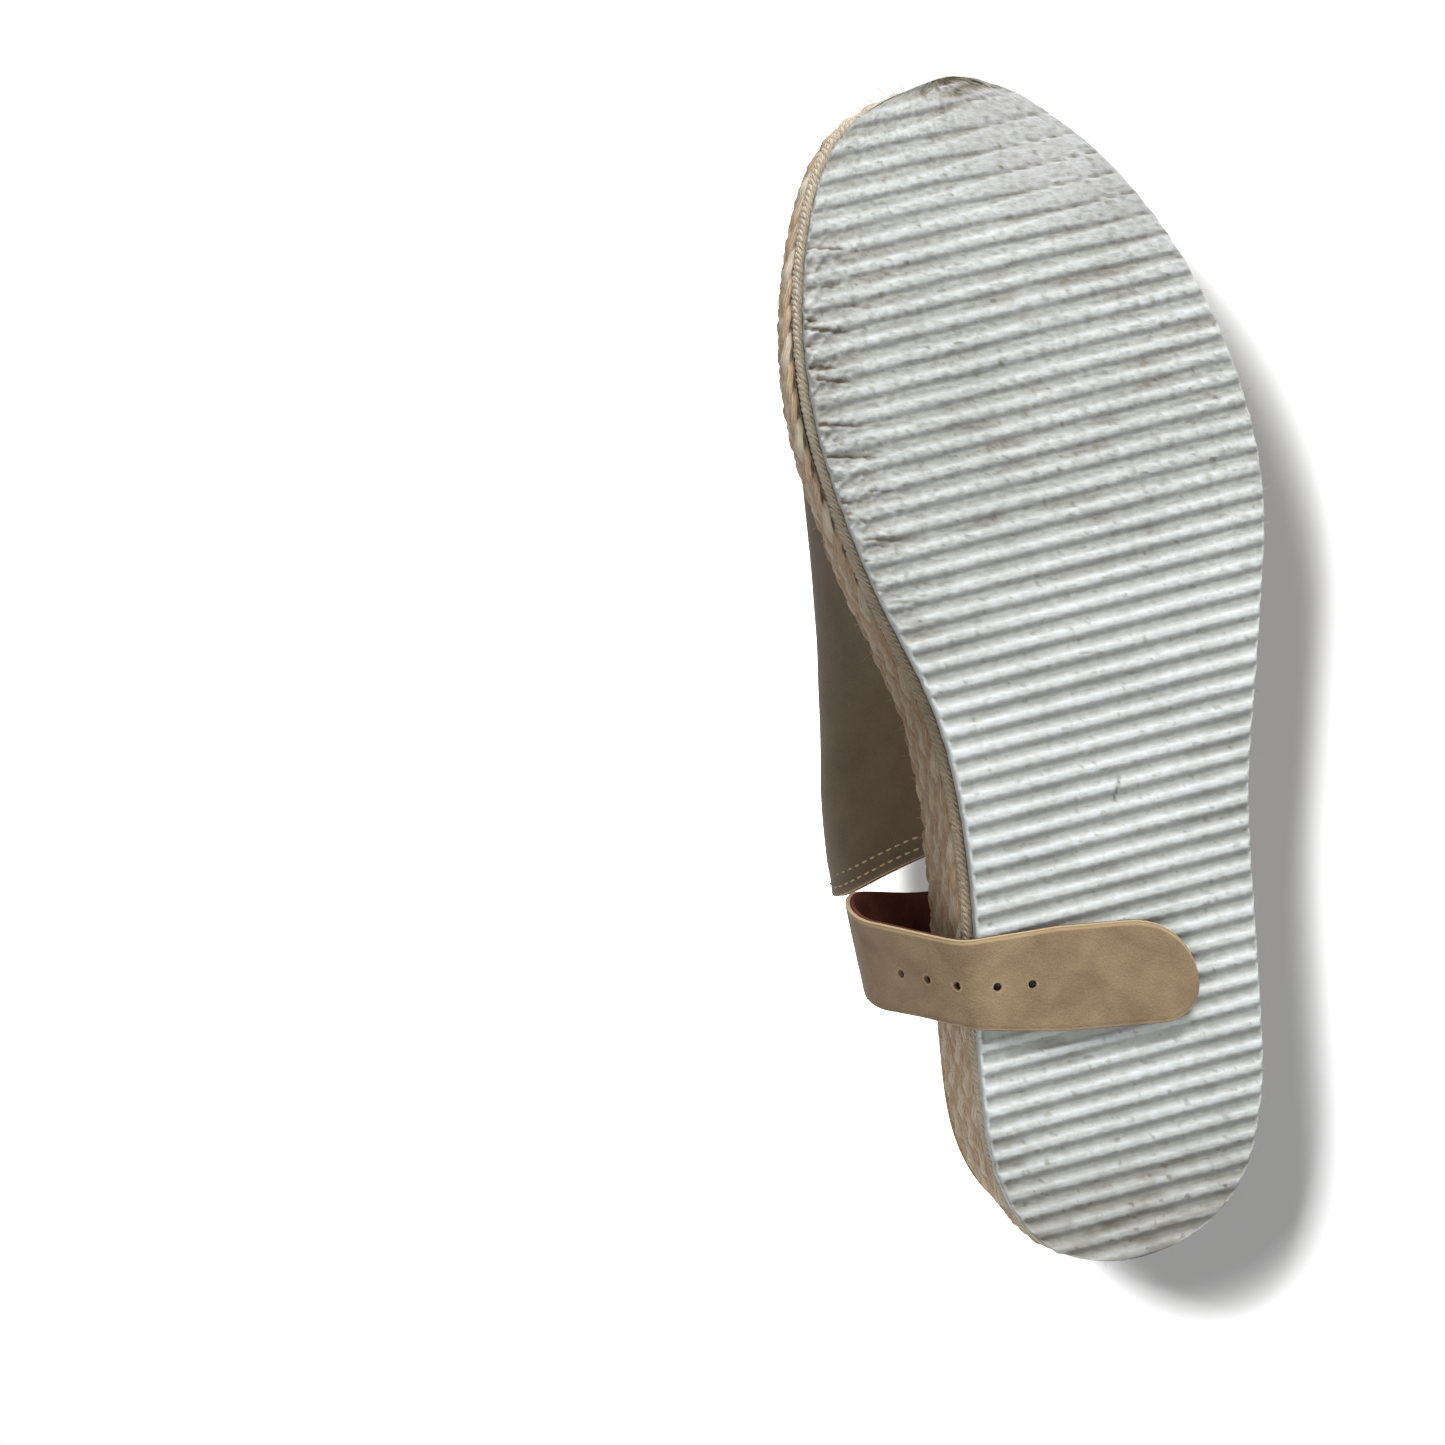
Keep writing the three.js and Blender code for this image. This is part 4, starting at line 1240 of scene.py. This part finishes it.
FOOTBED_INSET = 4.6
FOAM_LOW, FOAM_HIGH = 2.6, 6.6   # above the wedge top
SOCK_HIGH = 7.9
SWELL_FRAMES = 20


def footbed_grid(inset, columns, step):
    """Rows and columns over the footbed's plan, inside the sole's edge."""
    plan = SOLE.at(SOLE.run, -inset)[0]
    front, back = plan.imag.min(), plan.imag.max()
    ease = np.array([0.03, 0.15, 0.5, 1.1])
    middle = np.arange(front + 1.8, back - 1.8, step)
    rows = np.concatenate([front + ease, middle, back - ease[::-1]])
    ring = np.roll(plan, -np.argmin(plan.imag))
    split = int(np.argmax(ring.imag))
    chains = (ring[split:][::-1], ring[: split + 1])
    inner, outer = (np.interp(rows, np.maximum.accumulate(c.imag), c.real) for c in chains)
    x = (inner + outer)[:, None] / 2 + (outer - inner)[:, None] / 2 * eased(columns, 0.4)
    y = np.repeat(rows[:, None], columns, 1)
    near = np.minimum(x - inner[:, None], outer[:, None] - x)
    near = np.minimum(near, np.minimum(y - front, back - y) * 0.9)
    return x, y, near


def footprint(x, y):
    """How far the foot has pressed the footbed down: heel, ball and toes."""
    along = along_of(y)
    heel = 1.3 * np.exp(-((along - 38) / 24) ** 2 - ((x - 3) / 17) ** 2)
    ball = 1.0 * np.exp(-((along - 182) / 22) ** 2 - ((x + 2) / 26) ** 2)
    toes = 0
    for tx, ty, size in ((-22, 228, 9), (-5, 234, 6), (8, 230, 5.5), (19, 224, 5.5), (29, 215, 5)):
        toes = toes + 0.8 * np.exp(-((along - ty) / size) ** 2 - ((x - tx) / size) ** 2)
    return heel + ball + toes


def foam_pad():
    """The foam under the sock: a pad crowned by inflating its skin, held at its lower edge."""
    x, y, near = footbed_grid(FOOTBED_INSET + 0.2, 31, 3.0)
    base = deck(y)
    top = base + FOAM_HIGH - 0.9 - 1.6 * (1 - smoothstep(near, 0, 3.5)) ** 2
    upper, lower = np.stack([x, y, top], -1), np.stack([x, y, base + FOAM_LOW], -1)
    thing = Build()
    thing.grid(upper, upper[..., :2], flip=True, tone=1.0)
    thing.grid(lower, upper[..., :2])
    side_wall(thing, lower, upper, 3, 2, FOAM_HIGH - FOAM_LOW)
    made = thing.finish("footbed_pad", FOAM)
    weld(made, 0.01)
    inflate(made, cap=1.1)
    ride(made, "sandal", "foam", "footbed_foam")


def inflate(thing, cap):
    """Lets the pad's skin swell as cloth under pressure, each point moving at most cap mm."""
    rest = np.array([v.co for v in thing.data.vertices])
    held = thing.vertex_groups.new(name="held")
    tones = np.zeros(len(rest), np.float32)
    thing.data.attributes["tone"].data.foreach_get("value", tones)
    held.add([int(i) for i in np.nonzero(tones < 0.5)[0]], 1.0, "REPLACE")
    swell_as_cloth(thing)
    shift = np.array([v.co for v in thing.data.vertices]) - rest
    length = np.linalg.norm(shift, axis=1, keepdims=True)
    shift = shift * np.minimum(1, cap * MM / np.maximum(length, 1e-9))
    thing.data.vertices.foreach_set("co", (rest + shift).astype(np.float32).ravel())
    smooth(thing)


def swell_as_cloth(thing):
    """Runs the cloth solver with pressure and no gravity, and applies its result."""
    cloth = thing.modifiers.new("swell", "CLOTH")
    cloth.settings.quality = 5
    cloth.settings.mass = 0.2
    cloth.settings.use_pressure = True
    cloth.settings.uniform_pressure_force = 3.0
    cloth.settings.effector_weights.gravity = 0
    cloth.settings.vertex_group_mass = "held"
    cloth.collision_settings.use_collision = False
    cloth.point_cache.frame_start, cloth.point_cache.frame_end = 1, SWELL_FRAMES
    scene = bpy.context.scene
    for step in range(1, SWELL_FRAMES + 1):
        scene.frame_set(step)
    settle(thing)
    scene.frame_set(1)


def sock():
    """The leather sock over the pad, printed by the foot, with a sewn channel near its edge."""
    x, y, near = footbed_grid(FOOTBED_INSET - 0.1, 91, 1.0)
    turn_down = 2.2 * (1 - smoothstep(near, 0, 3.2)) ** 2
    channel = 0.45 * np.exp(-((near - 5.0) / 0.55) ** 2)
    wrinkle = 0.16 * rough(x, y, 0.06, 0.12, 31.0)
    z = deck(y) + SOCK_HIGH - turn_down - channel - footprint(x, y) + wrinkle
    points = np.stack([x, y, z], -1)
    thing = Build()
    thing.grid(points, points[..., :2], flip=True, tone=1 - smoothstep(near, 0, 2))
    made = thing.finish("sock", SOCK_LEATHER, NUBUCK_EDGE)
    thicken(made, 0.9)
    ride(made, "sandal", "sock_leather", "sock_lining")
    plan = SOLE.at(SOLE.run, -(FOOTBED_INSET + 5.0))[0]
    height = deck(plan.imag) + SOCK_HIGH - 0.1 - footprint(plan.real, plan.imag)
    stitch_row("sock_stitch", raised(plan, height), np.tile([0.0, 0.0, 1.0], (len(plan), 1)))


# ---- Buckle side -----------------------------------------------------------------------

TAB_WIDTH, TAB_HEIGHT, TAB_LEAN, HANG = 20.0, 44.0, 6.0, 15.0
BAR_RADIUS = 1.25
KEEPER_AT = (9.0, 17.0)          # the keeper's lower and upper edge on the tab
LOOP_INNER = BAR_RADIUS * math.sqrt(2) + 0.2
LOOP_OUTER = LOOP_INNER + 1.2
BAR = next(Vector(j["pos_m"]) / MM for j in frame["joints"] if j["name"] == "buckle_flip")
TAB_TURN = Matrix.Rotation(-math.radians(TAB_LEAN), 4, "Y")
TAB_FOOT = BAR - (TAB_TURN @ Vector((-LOOP_OUTER, 0, TAB_HEIGHT)))
TO_TAB = Matrix.Translation(TAB_FOOT) @ TAB_TURN
TO_BUCKLE = Matrix.Translation(BAR) @ Matrix.Rotation(-math.radians(TAB_LEAN + HANG), 4, "Y")


def placed(points, matrix):
    """Points moved from a piece's own frame into the sandal's."""
    return points @ np.array(matrix.to_3x3()).T + np.array(matrix.translation)


def tab_profile():
    """The tab's outer face in (x, z): up the outside, over the bar and down the inside."""
    line = [(0.0, z) for z in np.linspace(0, TAB_HEIGHT, 60)]
    for angle in np.linspace(0, math.pi, 24)[1:]:
        back, up = math.cos(angle) - 1, math.sin(angle)
        line.append((LOOP_OUTER * back, TAB_HEIGHT + LOOP_OUTER * up))
    line += [(-2 * LOOP_OUTER, TAB_HEIGHT - z) for z in np.linspace(0, 10, 16)[1:]]
    return np.array(line)


def tab_sheet(name, material, line, columns, thickness):
    """A sheet as wide as the tab, following a line in (x, z)."""
    across = np.linspace(-TAB_WIDTH / 2, TAB_WIDTH / 2, columns)
    x, y = np.meshgrid(line[:, 0], across, indexing="ij")
    points = np.stack([x, y, np.broadcast_to(line[:, 1:], x.shape)], -1)
    near = TAB_WIDTH / 2 - abs(across)
    tone = 1 - smoothstep(near, 0.7, 1.7)
    thing = Build()
    thing.grid(placed(points, TO_TAB), crossed(run_along(line), across), flip=True, tone=tone)
    made = thing.finish(name, material, NUBUCK_EDGE)
    thicken(made, thickness)
    return made


def tab_stitch(name, y, z):
    """A row of stitches on the tab's outer face, in the tab's own frame."""
    path = np.stack([0 * z, y, z], -1)
    out = np.array(TAB_TURN.to_3x3() @ Vector((1, 0, 0)))
    stitch_row(f"tab_stitch_{name}", placed(path, TO_TAB), np.tile(out, (len(path), 1)))


def buckle_tab():
    """The tab that holds the buckle: looped over its bar, slotted for the prong and stitched."""
    made = tab_sheet("buckle_tab", NUBUCK, tab_profile(), 33, LEATHER)
    slot_cut(made)
    ride(made, "sandal", "nubuck", "buckle_tab_outer")
    half = TAB_WIDTH / 2 - 2.2
    level = np.linspace(3, TAB_HEIGHT - 9, 120)
    tab_stitch("front", 0 * level - half, level)
    tab_stitch("back", 0 * level + half, level)
    bar = np.linspace(-half, half, 60)
    tab_stitch("top", bar, 0 * bar + TAB_HEIGHT - 9)
    level = np.linspace(0, TAB_HEIGHT - 7, 40)
    line = np.stack([0 * level - 1.5, level], -1)
    made = tab_sheet("buckle_tab_inside", LINING_LEATHER, line, 17, 0.9)
    ride(made, "sandal", "lining_leather", "buckle_tab_lining")


def slot_cut(thing):
    """The slot in the tab's loop that lets the prong through."""
    work = bmesh.new()
    bmesh.ops.create_cube(work, size=1)
    size = Matrix.Diagonal((12 * MM, 3.4 * MM, 13 * MM, 1))
    where = TO_TAB @ Matrix.Translation((-LOOP_OUTER, 0, TAB_HEIGHT - 0.5))
    where.translation = where.translation * MM
    bmesh.ops.transform(work, matrix=where @ size, verts=work.verts)
    cut(thing, work)
    smooth(thing, 40)


def arc(centre, radius, first, last, count):
    """Points of an arc in a plane, from one angle to another in degrees."""
    angle = np.radians(np.linspace(first, last, count))
    return np.stack([centre[0] + radius * np.cos(angle), centre[1] + radius * np.sin(angle)], -1)


def evenly(path, count):
    """A closed path with evenly spaced points, and the run along it once round."""
    ring = np.vstack([path, path[:1]])
    run = run_along(ring)
    even = np.linspace(0, run[-1], count + 1)
    return resample(ring, run, even[:-1]), even


def keeper():
    """The leather loop round the tab."""
    half_y, out, within, corner, leather = TAB_WIDTH / 2 + 0.6, 3.8, -2.7, 1.1, 1.25
    path = []
    for k, (side_x, side_y) in enumerate(((-1, -1), (1, -1), (1, 1), (-1, 1))):
        x = (out if side_x > 0 else within) + side_x * (leather - corner)
        y = side_y * (half_y + leather - corner)
        path.append(arc((x, y), corner, 180 + 90 * k, 270 + 90 * k, 7))
    path, run = evenly(np.concatenate(path), 90)
    level = np.linspace(*KEEPER_AT, 13)
    points = np.concatenate([np.repeat(path[:, None], 13, 1), crossed(run[:-1], level)[..., 1:]], -1)
    near = np.minimum(level - KEEPER_AT[0], KEEPER_AT[1] - level)
    tone = 1 - smoothstep(near, 0.3, 1.2)
    thing = Build()
    thing.grid(placed(points, TO_TAB), crossed(run, level), wrap_u=True, tone=tone)
    made = thing.finish("keeper", NUBUCK, NUBUCK_EDGE)
    thicken(made, leather)
    ride(made, "sandal", "nubuck", "keeper_loop")


def wire(name, body, node, path, radius, sides, closed=False):
    """A round brass wire along a path in the buckle's own frame."""
    path = placed(path, TO_BUCKLE)
    ahead = np.roll(path, -1, 0) - np.roll(path, 1, 0) if closed else np.gradient(path, axis=0)
    ahead = unit(ahead)
    side = unit(np.cross(ahead, [1.0, 0.2, 0.1]))
    thing = Build()
    thing.tube(path, side, np.cross(ahead, side), radius, sides, closed=closed)
    ride(thing.finish(name, BRASS), body, "buckle_metal", node)


def on_bar(points):
    """Points in (x, z) across the bar, at the middle of its length."""
    return np.stack([points[:, 0], 0 * points[:, 0], points[:, 1]], -1)


def buckle():
    """A rectangular wire frame with round corners, hanging from the bar, and its prong."""
    half, reach, corner, tight = 13.2, 22.5, 3.6, 1.4
    bar = np.linspace(-half + tight, half - tight, 24)
    line = np.concatenate([
        np.stack([bar, 0 * bar], -1),
        arc((half - tight, -tight), tight, 90, 0, 9),
        arc((half - corner, -reach + corner), corner, 0, -90, 9),
        arc((-half + corner, -reach + corner), corner, -90, -180, 9),
        arc((-half + tight, -tight), tight, 180, 90, 9)])
    ring, _ = evenly(np.stack([0 * line[:, 0], line[:, 0], line[:, 1]], -1), 160)
    radius = 1.2 + 0.22 * smoothstep(-ring[:, 2], 2, 10)
    wire("buckle_wire", "buckle", "buckle_frame", ring, radius, 16, closed=True)

    hook = LOOP_INNER + 0.65
    lie = BAR_RADIUS + 1.2
    rise = np.linspace(0.1, 1, 8)
    line = np.concatenate([
        np.stack([np.full(24, lie), np.linspace(-24.6, -6, 24)], -1),
        np.stack([lie + (hook - lie) * rise, -6 + 6 * rise], -1),
        arc((0, 0), hook, 10, 250, 30)])
    last = len(line) - 1
    radius = np.interp(np.arange(last + 1), [0, 3, 20, last], [0.62, 0.85, 1.05, 0.85])
    wire("buckle_pin", "prong", "buckle_prong", on_bar(line), radius, 12)


# ---- Carried-over parts ----------------------------------------------------------------


def dress(node, material):
    """Gives a CAD part that stays as it is a material."""
    thing = frame["nodes"][node]
    thing.data.materials.clear()
    thing.data.materials.append(material)


# ---- Stage, lights and camera ----------------------------------------------------------

PLAN_AIM = Vector((-0.0743, 0.003, 0.0027))
VIEW_DISTANCE = 0.436
LEAN = math.radians(7.2)         # the toe leans this far to the left in the picture
WORLD_LIGHT = 0.24
ROLL = math.radians(3.0)         # the sandal is seen rolled a little onto its outer side


def camera():
    """Looks up at the sole from below."""
    data = bpy.data.cameras.new("camera")
    data.lens, data.sensor_width = 50, 36
    data.clip_start, data.clip_end = 0.01, 50
    made = bpy.data.objects.new("camera", data)
    bpy.context.scene.collection.objects.link(made)
    right = Vector((math.cos(LEAN), math.sin(LEAN), 0))
    up = Vector((math.sin(LEAN), -math.cos(LEAN), 0))
    turn = Matrix((right, up, Vector((0, 0, -1)))).transposed().to_4x4()
    stand = Matrix.Translation(PLAN_AIM - Vector((0, 0, VIEW_DISTANCE))) @ turn
    pivot = Vector((0, 0, 0.012))
    roll = Matrix.Translation(pivot) @ Matrix.Rotation(ROLL, 4, "Y") @ Matrix.Translation(-pivot)
    made.matrix_world = roll @ stand
    bpy.context.scene.camera = made


def lamp(name, place, aim, size, power):
    """A square soft light that points at a place."""
    data = bpy.data.lights.new(name, "AREA")
    data.shape = "SQUARE"
    data.size, data.energy = size, power
    made = bpy.data.objects.new(name, data)
    made.location = place
    made.rotation_euler = (Vector(aim) - Vector(place)).to_track_quat("-Z", "Y").to_euler()
    bpy.context.scene.collection.objects.link(made)
    return made


def one_sided_paint(name, own_light):
    """Pale paint with a little light of its own, clear from behind."""
    paint = bpy.data.materials.new(name)
    paint.use_nodes = True
    tree = paint.node_tree
    shader = tree.nodes["Principled BSDF"]
    settings = (("Base Color", (0.9, 0.9, 0.9, 1)), ("Roughness", 1.0), ("Specular IOR Level", 0.0),
                ("Emission Color", (1, 1, 1, 1)), ("Emission Strength", own_light))
    for socket, value in settings:
        shader.inputs[socket].default_value = value
    clear = tree.nodes.new("ShaderNodeBsdfTransparent")
    side = tree.nodes.new("ShaderNodeNewGeometry")
    choose = tree.nodes.new("ShaderNodeMixShader")
    tree.links.new(side.outputs["Backfacing"], choose.inputs[0])
    tree.links.new(shader.outputs[0], choose.inputs[1])
    tree.links.new(clear.outputs[0], choose.inputs[2])
    tree.links.new(choose.outputs[0], tree.nodes["Material Output"].inputs["Surface"])
    return paint


def stage_sheet(name, z, size, centre, faces_up, own_light):
    """A pale sheet that only the camera sees, and only from its front."""
    mesh = bpy.data.meshes.new(name)
    half_x, half_y = size[0] / 2, size[1] / 2
    signs = ((-1, -1), (1, -1), (1, 1), (-1, 1))
    corners = [(centre[0] + sx * half_x, centre[1] + sy * half_y, z) for sx, sy in signs]
    mesh.from_pydata(corners, [], [(0, 1, 2, 3) if faces_up else (3, 2, 1, 0)])
    mesh.materials.append(one_sided_paint(name, own_light))
    made = bpy.data.objects.new(name, mesh)
    bpy.context.scene.collection.objects.link(made)
    for kind in ("visible_diffuse", "visible_glossy", "visible_transmission", "visible_shadow"):
        setattr(made, kind, False)
    return made


def light_only(light, thing, state):
    """Limits a lamp to one object, or keeps it off that object."""
    group = bpy.data.collections.new(f"{light.name}_{state.lower()}")
    group.objects.link(thing)
    light.light_linking.receiver_collection = group
    group.collection_objects[0].light_linking.link_state = state


def white_world():
    """White to the camera, and a dimmer light on everything else."""
    world = bpy.data.worlds.new("studio")
    world.use_nodes = True
    tree = world.node_tree
    sky = tree.nodes["Background"]
    seen = tree.nodes.new("ShaderNodeLightPath")
    strength = tree.nodes.new("ShaderNodeMapRange")
    strength.inputs["To Min"].default_value = WORLD_LIGHT
    strength.inputs["To Max"].default_value = 1.0
    tree.links.new(seen.outputs["Is Camera Ray"], strength.inputs["Value"])
    tree.links.new(strength.outputs["Result"], sky.inputs["Strength"])
    sky.inputs["Color"].default_value = (1, 1, 1, 1)
    bpy.context.scene.world = world


def studio():
    """The floor, a small backdrop high behind the sandal with its own lamp, and soft lights."""
    bpy.context.scene.view_settings.view_transform = "Standard"
    white_world()
    stage_sheet("floor", 0.0, (6.0, 6.0), (0, 0), True, 0.86)
    backdrop = stage_sheet("backdrop", 0.32, (0.32, 0.52), (0.082, 0.05), False, 0.09)
    throw = lamp("backdrop_light", (-0.142, -0.046, -0.43), (0.08, 0.05, 0.32), 0.05, 20)
    light_only(throw, backdrop, "INCLUDE")
    lights = (
        lamp("under_key", (0.32, -1.3, -0.8), (0, 0, 0), 0.6, 28),
        lamp("under_fill", (-0.6, 0.2, -1.1), (-0.02, 0, 0), 0.9, 6),
        lamp("top_key", (0.6, -0.8, 1.1), (0, 0, 0.05), 0.6, 22),
        lamp("top_fill", (-0.35, 1.0, 1.1), (0, 0, 0.05), 1.0, 7),
        lamp("back_rim", (0.2, 1.1, 0.6), (0, 0, 0.05), 0.8, 8))
    for light in lights:
        light_only(light, backdrop, "EXCLUDE")


# ---- Assembly --------------------------------------------------------------------------

camera()
studio()
outsole()
for turn in range(BAND_COUNT):
    braid_band(turn)
braid_tape()
braid_rope()
loose_fibres()
strap()
upper()
foam_pad()
sock()
buckle_tab()
keeper()
buckle()
dress("wedge_core", CORK)
dress("insole_board", BOARD)
